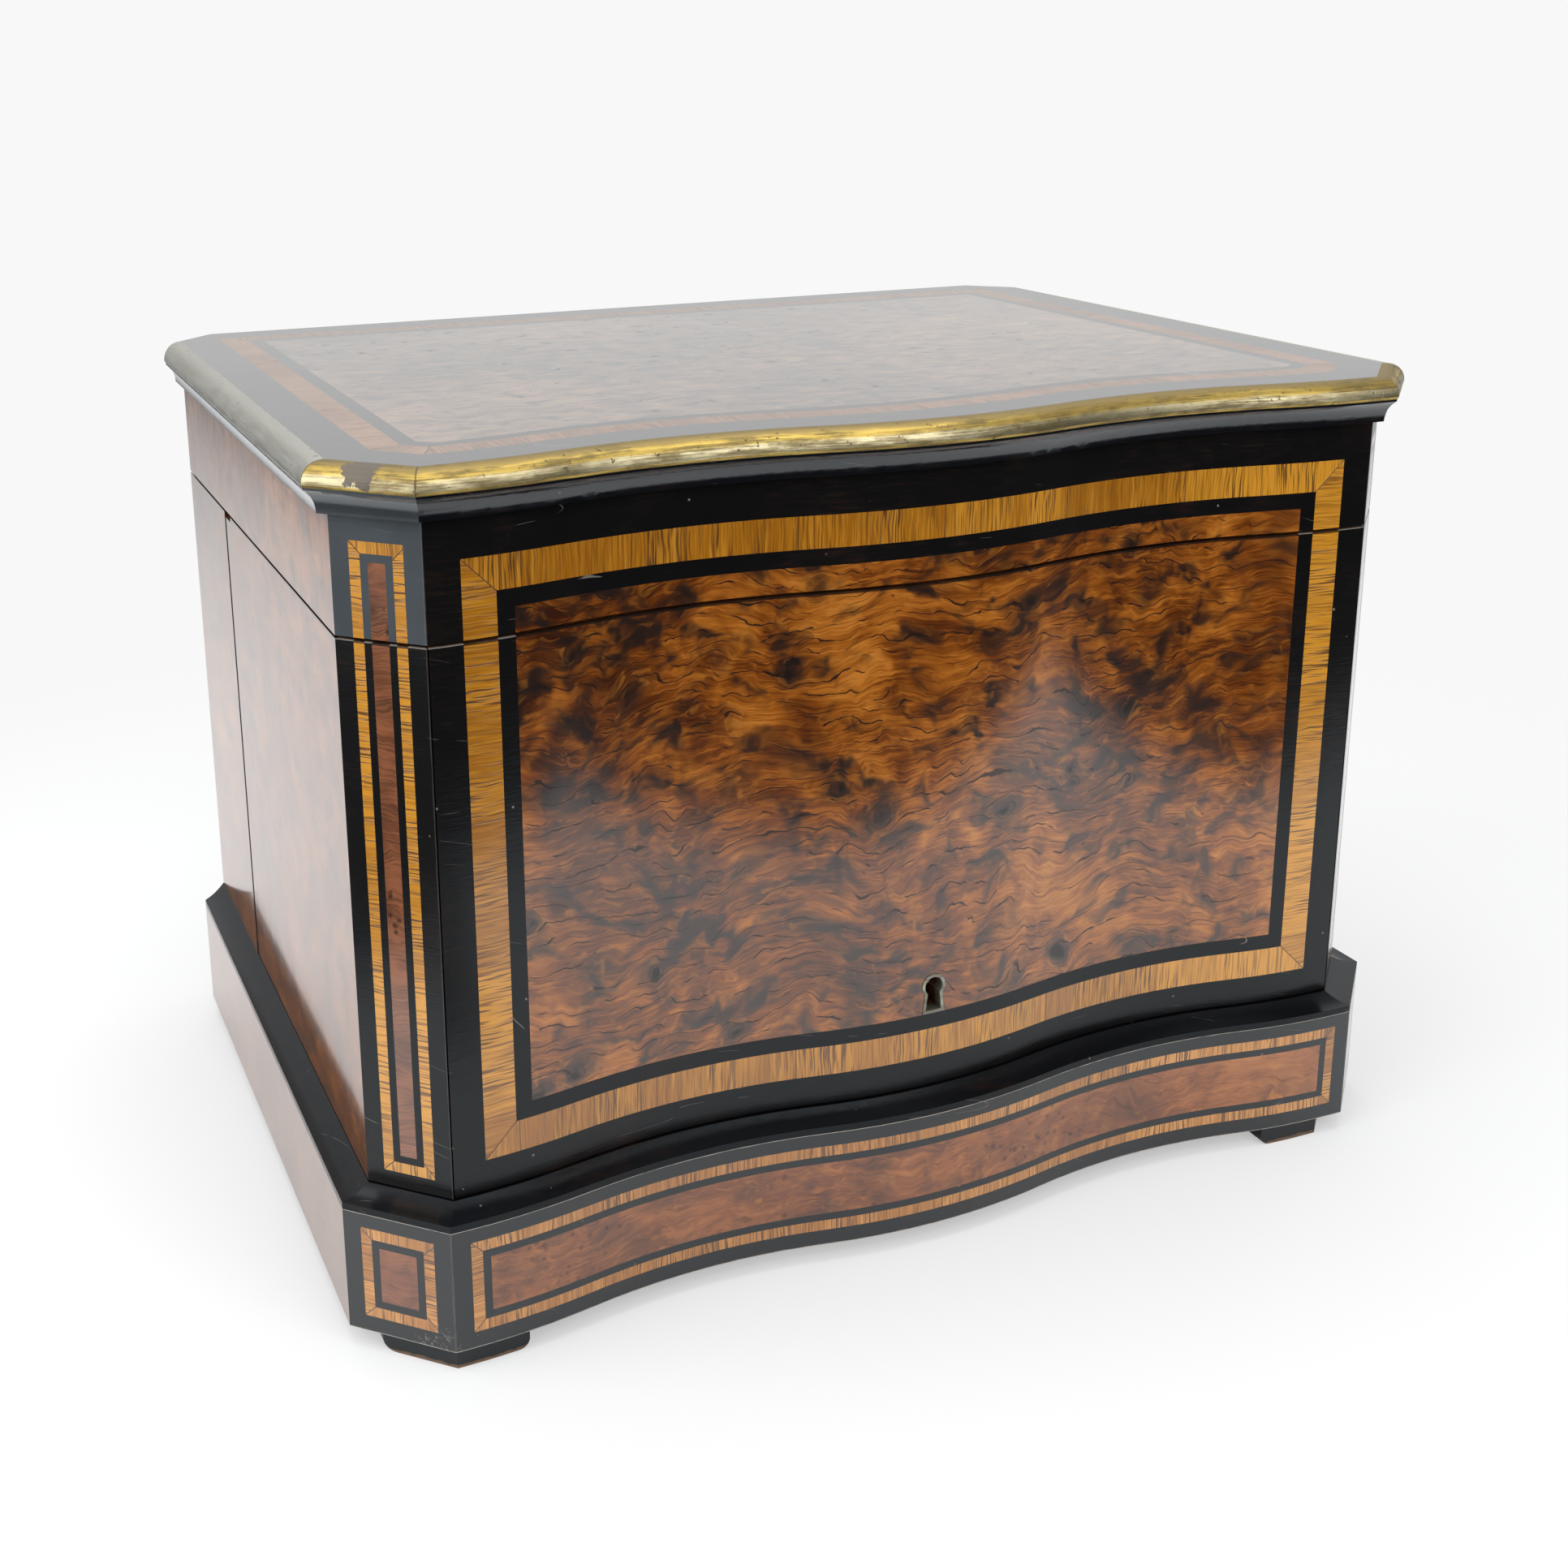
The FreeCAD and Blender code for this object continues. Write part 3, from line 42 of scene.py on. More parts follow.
# A span holds the two limits of a soft step, and stops hold the places and colours of a ramp.
Rgb = tuple[float, float, float]
Place = tuple[float, float, float]
Span = tuple[float, float]
Stops = tuple[tuple[float, Rgb], ...]
Operand = Union["Wire", float, Rgb, Place]


class Wire:
    """A socket that takes part in Python expressions and adds the nodes for them."""

    def __init__(self, graph: "Graph", socket: bpy.types.NodeSocket) -> None:
        """Keep the socket and its graph."""
        self.graph = graph
        self.socket = socket

    @property
    def is_number(self) -> bool:
        """True where the socket holds one number."""
        return self.socket.type == "VALUE"

    def _join(self, operation: str, other: Operand, swapped: bool = False) -> "Wire":
        """Add the node of one operation.

        Args:
            operation: Name of the Math or Vector Math operation.
            other: The other operand.
            swapped: True where the other operand comes first.

        Returns:
            The result of the operation.
        """
        plain = other.is_number if isinstance(other, Wire) else not isinstance(other, tuple)
        kind = "ShaderNodeMath" if self.is_number and plain else "ShaderNodeVectorMath"
        first, second = (other, self) if swapped else (self, other)
        return self.graph.node(kind, {"operation": operation}, {0: first, 1: second})

    def __add__(self, other: Operand) -> "Wire":
        """Sum."""
        return self._join("ADD", other)

    def __radd__(self, other: Operand) -> "Wire":
        """Sum with the operands swapped."""
        return self._join("ADD", other, True)

    def __sub__(self, other: Operand) -> "Wire":
        """Difference."""
        return self._join("SUBTRACT", other)

    def __rsub__(self, other: Operand) -> "Wire":
        """Difference with the operands swapped."""
        return self._join("SUBTRACT", other, True)

    def __mul__(self, other: Operand) -> "Wire":
        """Product."""
        return self._join("MULTIPLY", other)

    def __rmul__(self, other: Operand) -> "Wire":
        """Product with the operands swapped."""
        return self._join("MULTIPLY", other, True)

    def __truediv__(self, other: Operand) -> "Wire":
        """Quotient."""
        return self._join("DIVIDE", other)

    def __rtruediv__(self, other: Operand) -> "Wire":
        """Quotient with the operands swapped."""
        return self._join("DIVIDE", other, True)

    def __abs__(self) -> "Wire":
        """Size without sign."""
        return self._join("ABSOLUTE", 0.0)

    def least(self, other: Operand) -> "Wire":
        """The smaller of two values."""
        return self._join("MINIMUM", other)

    def most(self, other: Operand) -> "Wire":
        """The larger of two values."""
        return self._join("MAXIMUM", other)

    def part(self) -> "Wire":
        """The part after the decimal point."""
        return self._join("FRACT", 0.0)

    def whole(self) -> "Wire":
        """The whole number below."""
        return self._join("FLOOR", 0.0)


class Graph:
    """The node tree of one material or of the world."""

    def __init__(self, tree: bpy.types.NodeTree) -> None:
        """Start from an empty tree."""
        tree.nodes.clear()
        self.tree = tree

    def node(self, kind: str, settings: Optional[dict] = None, inputs: Optional[dict] = None,
             output: Union[int, str] = 0) -> Wire:
        """Add any node.

        Args:
            kind: Type of the node.
            settings: Attributes, set first; "stops" are a ramp's (place, colour) pairs.
            inputs: Values or wires by the socket's name or number.
            output: Name or number of the socket to return.

        Returns:
            The chosen output.
        """
        node = self.tree.nodes.new(kind)
        for name, value in (settings or {}).items():
            if name == "stops":
                self._set_stops(node.color_ramp, value)
            else:
                setattr(node, name, value)
        for name, value in (inputs or {}).items():
            socket = node.inputs[name]
            if isinstance(value, Wire):
                self.tree.links.new(value.socket, socket)
            elif socket.type == "RGBA":
                socket.default_value = (*value, 1.0)
            elif socket.type == "VECTOR" and not isinstance(value, tuple):
                socket.default_value = (value, value, value)
            else:
                socket.default_value = value
        return Wire(self, node.outputs[output])

    @staticmethod
    def _set_stops(ramp: bpy.types.ColorRamp, stops: Stops) -> None:
        """Give a ramp its stops.

        Args:
            ramp: Ramp to change.
            stops: Place and colour of each stop.
        """
        while len(ramp.elements) < len(stops):
            ramp.elements.new(1.0)
        for element, (place, colour) in zip(ramp.elements, stops):
            element.position = place
            element.color = (*colour, 1.0)

    def coords(self) -> Wire:
        """Place on the piece in millimetres, in its rest position."""
        return self.node("ShaderNodeTexCoord", output="Object") * PER_METRE

    def facing(self) -> tuple[Wire, Wire, Wire]:
        """Parts of the surface's direction in the piece's own frame."""
        return self.parts(self.node("ShaderNodeTexCoord", output="Normal"))

    def parts(self, vector: Wire) -> tuple[Wire, Wire, Wire]:
        """The three numbers of a vector."""
        node = self.node("ShaderNodeSeparateXYZ", inputs={0: vector}).socket.node
        return tuple(Wire(self, socket) for socket in node.outputs)

    def vector(self, x: Operand, y: Operand, z: Operand) -> Wire:
        """A vector from three numbers."""
        return self.node("ShaderNodeCombineXYZ", inputs={0: x, 1: y, 2: z})

    def noise(self, at: Wire, scale: float = 1.0, detail: float = 2.0, roughness: float = 0.5,
              distortion: float = 0.0, colour: bool = False) -> Wire:
        """Cloudy noise.

        Args:
            at: Where to read it.
            scale: Clouds per millimetre.
            detail: Finer layers added.
            roughness: Weight of the finer layers.
            distortion: Twist of the clouds.
            colour: True for three numbers instead of one.

        Returns:
            Noise around one half.
        """
        sockets = {"Vector": at, "Scale": scale, "Detail": detail, "Roughness": roughness,
                   "Distortion": distortion}
        return self.node("ShaderNodeTexNoise", {"noise_dimensions": "3D"}, sockets,
                         "Color" if colour else "Fac")

    def wobble(self, at: Wire, scale: float, detail: float, reach: float, roughness: float = 0.5,
               colour: bool = False) -> Wire:
        """Cloudy noise about zero, as wide as its reach."""
        return (self.noise(at, scale, detail, roughness, colour=colour) - 0.5) * reach

    def cells(self, at: Wire, scale: float, output: str = "Distance") -> Wire:
        """Distance to the nearest of scattered points, or another output, in cell widths."""
        return self.node("ShaderNodeTexVoronoi", {"feature": "F1"}, {"Vector": at, "Scale": scale}, output)

    def distance(self, at: Wire, middle: Place) -> Wire:
        """Distance from a point."""
        return self.node("ShaderNodeVectorMath", {"operation": "DISTANCE"}, {0: at, 1: middle}, "Value")

    def chance(self, number: Wire) -> Wire:
        """A random number from 0 to 1 for each input number."""
        return self.node("ShaderNodeTexWhiteNoise", {"noise_dimensions": "1D"}, {"W": number}, "Value")

    def smooth(self, value: Wire, low: float, high: float) -> Wire:
        """Soft step from 0 at low to 1 at high."""
        inputs = {"Value": value, "From Min": low, "From Max": high}
        return self.node("ShaderNodeMapRange", {"interpolation_type": "SMOOTHSTEP"}, inputs)

    def tint(self, share: Union[Wire, float], base: Union[Wire, Rgb], top: Union[Wire, Rgb]) -> Wire:
        """A share of one colour laid over another."""
        return self.node("ShaderNodeMix", {"data_type": "RGBA"}, {0: share, 6: base, 7: top}, 2)

    def blend(self, share: Wire, base: Wire, top: Wire) -> Wire:
        """A share of one shader laid over another."""
        return self.node("ShaderNodeMixShader", inputs={0: share, 1: base, 2: top})

    def ramp(self, value: Wire, stops: Stops) -> Wire:
        """Colour looked up along stops."""
        return self.node("ShaderNodeValToRGB", {"stops": stops}, {0: value})

    def bump(self, height: Wire, depth: float) -> Wire:
        """Relief of a given depth in millimetres."""
        return self.node("ShaderNodeBump", inputs={"Strength": 1.0, "Distance": depth * MM, "Height": height})

    def surface(self, **sockets: Operand) -> Wire:
        """Principled surface; underscores in the names stand for spaces."""
        inputs = {name.replace("_", " "): value for name, value in sockets.items()}
        return self.node("ShaderNodeBsdfPrincipled", inputs=inputs)

    def finish(self, shader: Wire, output: str = "ShaderNodeOutputMaterial") -> None:
        """Add an output node and link the shader to its surface."""
        node = self.tree.nodes.new(output)
        self.tree.links.new(shader.socket, node.inputs["Surface"])


class Grain(Enum):
    """Which way a sheet of veneer was laid."""

    UPRIGHT = "the figure's layers run level and follow each other upward"
    FLAT = "the figure's layers run along x and follow each other to the back"

    def order(self, parts: tuple[Wire, Wire, Wire]) -> tuple[Wire, Wire, Wire]:
        """Turn a place on the piece into one on the sheet.

        Args:
            parts: Place along x, y and z.

        Returns:
            Place along the layers, across them and through the sheet.
        """
        x, y, z = parts
        if self is Grain.UPRIGHT:
            return x + y, z, x - y
        return x, y, z


class Axis(Enum):
    """An axis of the case by its number: x to the right, y to the back and z up."""

    X = 0
    Y = 1
    Z = 2


class Finish:
    """A surface finish that can make its material."""

    name: str

    def paint(self, graph: Graph) -> Wire:
        """Build the shader of the finish."""
        raise NotImplementedError

    def material(self) -> bpy.types.Material:
        """Make the finish a new material.

        Returns:
            The material.
        """
        material = bpy.data.materials.new(self.name)
        material.use_nodes = True
        graph = Graph(material.node_tree)
        graph.finish(self.paint(graph))
        return material


@dataclass(frozen=True)
class SeamWearAndLight:
    """A seam at a level in millimetres: a pale line along its upper edge that is bare wood and painted
    highlight, and a dark line of painted shade along its lower one.
    """

    level: float
    reach: float = 0.7
    soft: float = 0.05
    fade: float = 0.6
    breaks: Span = (0.36, 0.52)
    # Pale line: bare wood and painted highlight.
    bare: Rgb = (0.36, 0.20, 0.11)
    # Dark line: painted shade in the seam's gap.
    painted_seam_shade: Rgb = (0.008, 0.006, 0.005)

    def lay(self, graph: Graph, at: Wire, colour: Wire) -> Wire:
        """Lay the seam's lines over a colour.

        Args:
            graph: Node tree to add to.
            at: Place on the piece in millimetres.
            colour: Colour underneath.

        Returns:
            The colour with the lines.
        """
        above = graph.parts(at)[2] - self.level
        broken = graph.smooth(graph.noise(at, 0.12, 3.0, 0.6), *self.breaks)
        # Pale line above the seam: bare wood and painted highlight; dark line below it: painted shade.
        pale = graph.smooth(above, 0.0, self.soft) * graph.smooth(above, self.reach, self.reach * self.fade)
        dark = graph.smooth(above, self.soft, 0.0) * graph.smooth(above, -self.reach, -self.reach * self.fade)
        colour = graph.tint(dark * 0.9, colour, self.painted_seam_shade)
        return graph.tint(pale * broken * 0.8, colour, self.bare)


@dataclass(frozen=True)
class Burl(Finish):
    """French-polished burl veneer: amber ground, grain that flows round smoky eyes, and fine cracks.

    Lengths are in millimetres; eyes and dots are counted per millimetre.
    """

    name: str
    grain: Grain = Grain.UPRIGHT
    stops: Stops = (
        (0.30, (0.036, 0.008, 0.002)), (0.42, (0.092, 0.023, 0.003)), (0.52, (0.175, 0.047, 0.005)),
        (0.62, (0.295, 0.090, 0.009)), (0.74, (0.440, 0.160, 0.022)))
    smoke: Rgb = (0.012, 0.008, 0.007)
    smoky: float = 0.95
    smoke_reach: Span = (8.0, 0.8)
    haze: Span = (0.44, 0.70)
    # Bright tongues: lighter figure, with chatoyant shimmer painted in as highlight.
    tongue_and_sheen: Rgb = (0.520, 0.190, 0.022)
    tongue_and_sheen_from: Span = (0.54, 0.70)
    sway: float = 24.0
    curl: float = 5.5
    size: float = 1.0
    calm_from: float = 60.0
    calm_to: float = 150.0
    calm_drift: float = 90.0
    eyes: float = 0.060
    eye_share: Span = (0.34, 0.38)
    eye_reach: float = 8.5
    eye_core: float = 0.5
    raggedness: float = 6.5
    cracks: float = 0.92
    crack_pitch: float = 3.6
    crack_width: Span = (0.066, 0.026)
    crack_breaks: Span = (0.46, 0.55)
    ring_pitch: float = 1.6
    ring_width: Span = (0.22, 0.06)
    ring_reach: Span = (5.0, 1.8)
    knot_reach: Span = (2.0, 0.8)
    # Joints on the sides, darkened with painted shade of the gap.
    joints: tuple[float, ...] = ()
    joint_reach: float = 1.4
    dots: float = 0.0
    dot_places: Span = (0.56, 0.62)
    dot_density: float = 0.34
    dot_width: Span = (0.36, 0.18)
    pore_from: Span = (0.67, 0.73)
    corner_colour: Rgb = (0.165, 0.058, 0.024)
    corner_from: Span = (0.38, 0.66)
    corner_deep: float = 0.55
    corner_light: float = 1.45
    side_colour: Rgb = (0.175, 0.060, 0.015)
    side_calm: float = 0.45
    # Seam lines: worn wood, painted highlight and painted shade.
    worn: Optional[SeamWearAndLight] = None
    roughness: float = 0.13
    coat_roughness: float = 0.07
    relief: float = 0.08
    dust: float = 0.0

    def ground(self, figure: "Figure") -> Wire:
        """Colour of the wood with its bright tongues, whose shimmer is painted highlight, and its smoke.

        Args:
            figure: Flow of the sheet's figure.

        Returns:
            The colour.
        """
        graph, calm_and_lit, broad = figure.graph, figure.calm_and_lit, figure.broad
        stripe = figure.layered(17.0, 1.9, 2.0, 0.6)
        tone = figure.glow * 0.58 + stripe * (0.36 - calm_and_lit * 0.14) + figure.hair * 0.42
        tone = tone + (broad - 0.5) * 0.45 - 0.18
        # Lighter tone in the calm zone to the right: painted light from the right front, over calmer figure.
        colour = graph.ramp(tone + calm_and_lit * 0.15, self.stops)
        # Bright tongues near the eyes: lighter figure and painted highlight.
        tongue_and_sheen_mask = graph.smooth(figure.layered(8.0, 2.6, 1.0, 0.9), *self.tongue_and_sheen_from)
        colour = graph.tint(tongue_and_sheen_mask * (figure.eye * 0.75 + 0.18), colour, self.tongue_and_sheen)
        smoke = graph.smooth(figure.ragged, *self.smoke_reach) * figure.present
        haze = figure.clouded(15.0, 8.0, 2.0, 0.5) + (figure.hair - 0.5) * 0.18 - (broad - 0.5) * 0.30
        smoke = smoke.most(graph.smooth(haze, *self.haze)) * self.smoky * (1.0 - calm_and_lit * 0.25)
        return graph.tint(smoke, colour, self.smoke)

    def corner_wood(self, figure: "Figure") -> Wire:
        """Plainer colour on the cut corners.

        Args:
            figure: Flow of the sheet's figure.

        Returns:
            The colour.
        """
        deep = tuple(self.corner_deep * part for part in self.corner_colour)
        light = tuple(self.corner_light * part for part in self.corner_colour)
        tone = figure.graph.smooth(figure.hair * 0.45 + figure.glow * 0.6, *self.corner_from)
        return figure.graph.tint(tone, deep, light)

    def cracks_and_knots(self, figure: "Figure") -> Wire:
        """Dark cracks along the layers, and knots with rings in the eyes.

        Args:
            figure: Flow of the sheet's figure.

        Returns:
            Mask of the marks.
        """
        graph, gap = figure.graph, figure.eye_gap
        jitter = graph.wobble(figure.at, 0.45, 2.0, 0.20)
        drift = figure.clouded(22.0, 10.0) * 2.8
        split = abs((figure.level / self.crack_pitch + drift + jitter).part() - 0.5)
        crack = graph.smooth(split, *self.crack_width)
        crack = crack * graph.smooth(figure.clouded(15.0, 2.8), *self.crack_breaks) * self.cracks
        ring = graph.smooth(abs((gap / self.ring_pitch).part() - 0.5), *self.ring_width)
        ring = ring * graph.smooth(gap, *self.ring_reach)
        knot = graph.smooth(figure.ragged, *self.knot_reach).most(ring * 0.55) * figure.present
        return crack.most(knot * 0.85)

    def paint(self, graph: Graph) -> Wire:
        """Shader of the burl.

        Args:
            graph: Node tree to add to.

        Returns:
            The shader.
        """
        at = graph.coords()
        x, y, z = graph.parts(at)
        figure = Figure(graph, at, self)
        facing = abs(graph.facing()[0])
        side = graph.smooth(facing, *SIDE_TURN)
        corner = graph.smooth(facing, *CORNER_TURN) * (1.0 - side)
        colour = graph.tint(corner, self.ground(figure), self.corner_wood(figure))
        colour = graph.tint(side * self.side_calm, colour, self.side_colour)
        dot = graph.smooth(graph.cells(at, self.dot_density), *self.dot_width)
        dot = dot * graph.smooth(graph.noise(at, 0.045, 1.0), *self.dot_places)
        dot = dot * (corner * 0.9 + self.dots).least(1.0)
        pore = graph.noise(graph.vector(x, y / 1.1, z / 5.0), 1.0, 1.0)
        pore = graph.smooth(pore, *self.pore_from) * side
        calm = 1.0 - (corner * 0.8 + side * 0.85).most(figure.calm_and_lit * 0.55)
        mark = (self.cracks_and_knots(figure) * calm).most(dot * 0.85).most(pore * 0.8)
        colour = graph.tint(mark, colour, self.smoke)
        if self.worn is not None:
            colour = self.worn.lay(graph, at, colour)
        roughness = graph.noise(at, 0.05) * 0.10 + (self.roughness - 0.05)
        height = figure.hair * 0.12 + graph.noise(at, 0.10, 1.0) * 0.7
        coat = (1.0 - side * 0.6) * (1.0 - mark * 0.7)
        shader = graph.surface(Base_Color=colour, Roughness=roughness, IOR=POLISH_IOR, Coat_Weight=coat,
                               Coat_Roughness=self.coat_roughness, Sheen_Weight=self.dust,
                               Normal=graph.bump(height, self.relief))
        # Dark matt strip at each joint on the sides: painted shade of the gap, with its reflection taken
        # away.
        for joint in self.joints:
            painted_seam_shade = graph.node("ShaderNodeBsdfDiffuse", inputs={"Color": self.smoke})
            near = graph.smooth(abs(y - joint), self.joint_reach, self.joint_reach * 0.6) * side
            shader = graph.blend(near, shader, painted_seam_shade)
        return shader


class Figure:
    """Flow of a burl's figure over a sheet: bent axes, eyes, layers, broad changes of tone, and a calm zone
    to the right that also carries painted light.
    """

    def __init__(self, graph: Graph, at: Wire, burl: Burl) -> None:
        """Bend the sheet, set its eyes and draw its finest layers.

        Args:
            graph: Node tree to add to.
            at: Place on the piece in millimetres.
            burl: Finish that holds the sizes.
        """
        self.graph = graph
        self.at = at
        bent = at / burl.size
        bent = bent + graph.wobble(bent, 0.022, 1.0, burl.sway, colour=True)
        bent = bent + graph.wobble(bent, 0.12, 2.0, burl.curl, colour=True)
        self.along, self.across, self.depth = burl.grain.order(graph.parts(bent))
        self.eye_gap = graph.cells(bent, burl.eyes) / burl.eyes
        draw = graph.parts(graph.cells(bent, burl.eyes, "Color"))[0]
        self.present = graph.smooth(draw, *burl.eye_share)
        self.eye = graph.smooth(self.eye_gap, burl.eye_reach, burl.eye_core) * self.present
        hub = burl.grain.order(graph.parts(graph.cells(bent, burl.eyes, "Position")))[1]
        self.level = self.across - (self.across - hub) * self.eye * 0.9
        self.ragged = self.eye_gap + graph.wobble(bent, 0.20, 2.0, burl.raggedness)
        self.hair = self.layered(24.0, 0.55, 2.0)
        self.glow = self.clouded(20.0, 13.0, 2.0, 0.5)
        self.broad = graph.noise(at, 0.011, 1.0)
        # Calm zone towards the right: calmer figure, and painted light that makes the wood lighter there.
        place = graph.parts(at)[0] - (self.broad - 0.5) * burl.calm_drift
        self.calm_and_lit = graph.smooth(place, burl.calm_from, burl.calm_to)

    def layered(self, length: float, thickness: float, detail: float, distortion: float = 0.0) -> Wire:
        """Noise drawn out along the layers, which bend round the eyes."""
        place = self.graph.vector(self.along / length, self.level / thickness, self.depth / length)
        return self.graph.noise(place, 1.0, detail, 0.55, distortion)

    def clouded(self, length: float, width: float, detail: float = 1.0, distortion: float = 0.0) -> Wire:
        """Noise drawn out along the sheet, which runs on through the eyes."""
        place = self.graph.vector(self.along / length, self.across / width, self.depth / length)
        return self.graph.noise(place, 1.0, detail, distortion=distortion)


@dataclass(frozen=True)
class CornerRing:
    """Frame of crossbanding on a cut corner: middle of the face and reach of the frame, in millimetres."""

    middle: float
    half: float
    low: float
    high: float


@dataclass(frozen=True)
class Strips:
    """Lay of a frame's strips: along and across each, and masks of upright strips, mitres and cut corners."""

    step: Wire
    reach: Wire
    upright: Wire
    mitre: Wire
    on_corner: Optional[Wire]


@dataclass(frozen=True)
class Crossband(Finish):
    """Crossbanded frame whose grain runs across each strip, with mitred corners."""

    name: str
    half: float
    low: float
    high: float
    cut_corner: Optional[float] = None
    corner: Optional[CornerRing] = None
    arris: float = 0.0
    arris_soft: float = 1.0
    piece: float = 41.0
    upright_shift: float = 0.37
    upright_draw: float = 17.0
    soft: float = 0.05
    mitre_width: Span = (0.26, 0.10)
    joint_width: Span = (0.494, 0.498)
    streaks: Span = (0.36, 0.60)
    dashes: Span = (0.50, 0.62)
    lightness: Span = (0.42, 0.92)
    # Paler towards the right end as painted light; paler also on the cut corners.
    painted_light_from: Span = (0.55, 0.95)
    right_light_and_corner_pale: float = 0.0
    base: Rgb = (0.270, 0.096, 0.003)
    pale: Rgb = (0.560, 0.248, 0.020)
    dark: Rgb = (0.055, 0.017, 0.003)
    coat: float = 1.0
    coat_roughness: float = 0.09
    worn: Optional[SeamWearAndLight] = None
    roughness: float = 0.16
    relief: float = 0.06

    def lay_out(self, graph: Graph, at: Wire) -> Strips:
        """Find which strip of the frame a place is on.

        Args:
            graph: Node tree to add to.
            at: Place on the piece in millimetres.

        Returns:
            The lay of the strips.
        """
        x, y, z = graph.parts(at)
        rise = z if self.cut_corner is None else y
        run = x
        to_side = self.half - abs(x)
        to_end = (rise - self.low).least(self.high - rise)
        on_corner = None
        if self.corner is not None:
            on_corner = graph.smooth(abs(x), self.arris, self.arris + self.arris_soft)
            slant = (abs(x) - self.corner.middle) * DIAGONAL
            corner_end = (z - self.corner.low).least(self.corner.high - z)
            to_side = to_side + (self.corner.half - abs(slant) - to_side) * on_corner
            to_end = to_end + (corner_end - to_end) * on_corner
            run = x + (slant - x) * on_corner
        gap = to_side - to_end
        upright = graph.smooth(gap, self.soft, -self.soft)
        step = run + (rise - run) * upright
        reach = rise + (run - rise) * upright
        mitre = graph.smooth(abs(gap), *self.mitre_width)
        if self.cut_corner is not None:
            to_cut = (self.cut_corner - abs(x) + y) / DIAGONAL
            over = to_side.least(to_end) - to_cut
            cut = graph.smooth(over, -self.soft, self.soft)
            step = step + ((abs(x) + y) / DIAGONAL - step) * cut
            reach = reach + (to_cut - reach) * cut
            mitre = (mitre * (1.0 - cut)).most(graph.smooth(abs(over), *self.mitre_width))
        return Strips(step, reach, upright, mitre, on_corner)

    def paint(self, graph: Graph) -> Wire:
        """Shader of the crossbanding.

        Args:
            graph: Node tree to add to.

        Returns:
            The shader.
        """
        at = graph.coords()
        strips = self.lay_out(graph, at)
        place = strips.step / self.piece + strips.upright * self.upright_shift
        tone = graph.chance(place.whole() + strips.upright * self.upright_draw)
        wavy = strips.step + graph.wobble(at, 0.10, 1.0, 1.3)
        fine = graph.noise(graph.vector(wavy / 0.7, strips.reach / 18.0, tone * 9.0), 1.0, 3.0, 0.62)
        broad = graph.noise(graph.vector(wavy / 9.0, strips.reach / 40.0, tone * 5.0), 1.0, 2.0)
        dash = graph.noise(graph.vector(wavy / 0.45, strips.reach / 14.0, tone * 7.0 + 3.0), 1.0, 1.0)
        dash = graph.smooth(dash, *self.dashes) * (graph.smooth(broad, *self.streaks) * 0.55 + 0.30)
        joint = graph.smooth(abs(place.part() - 0.5), *self.joint_width)
        light = graph.smooth(fine * 0.70 + broad * 0.45 + tone * 0.22, *self.lightness)
        # Paler towards the right end: painted light from the right front.
        light = light + graph.smooth(graph.parts(at)[0] / self.half, *self.painted_light_from) * self.right_light_and_corner_pale
        if strips.on_corner is not None:
            light = light + strips.on_corner * self.right_light_and_corner_pale
        colour = graph.tint(light.least(1.0), self.base, self.pale)
        colour = graph.tint(dash, colour, self.dark)
        colour = graph.tint((joint * 0.7).most(strips.mitre * 0.9), colour, self.dark)
        if self.worn is not None:
            colour = self.worn.lay(graph, at, colour)
        height = fine * 0.4 - dash - joint - strips.mitre
        roughness = fine * 0.10 + dash * 0.1 + (self.roughness - 0.05)
        return graph.surface(Base_Color=colour, Roughness=roughness, IOR=POLISH_IOR, Coat_Weight=self.coat,
                             Coat_Roughness=self.coat_roughness, Normal=graph.bump(height, self.relief))


@dataclass(frozen=True)
class Edge:
    """An arris with a pale line of worn wood, on rounded arrises also a painted highlight: its axis, its
    level and reach in millimetres, and its strength.
    """

    axis: Axis
    level: float
    reach: float
    strength: float


@dataclass(frozen=True)
class Rub:
    """A scuffed spot: its middle and radius in millimetres."""

    middle: Place
    radius: float


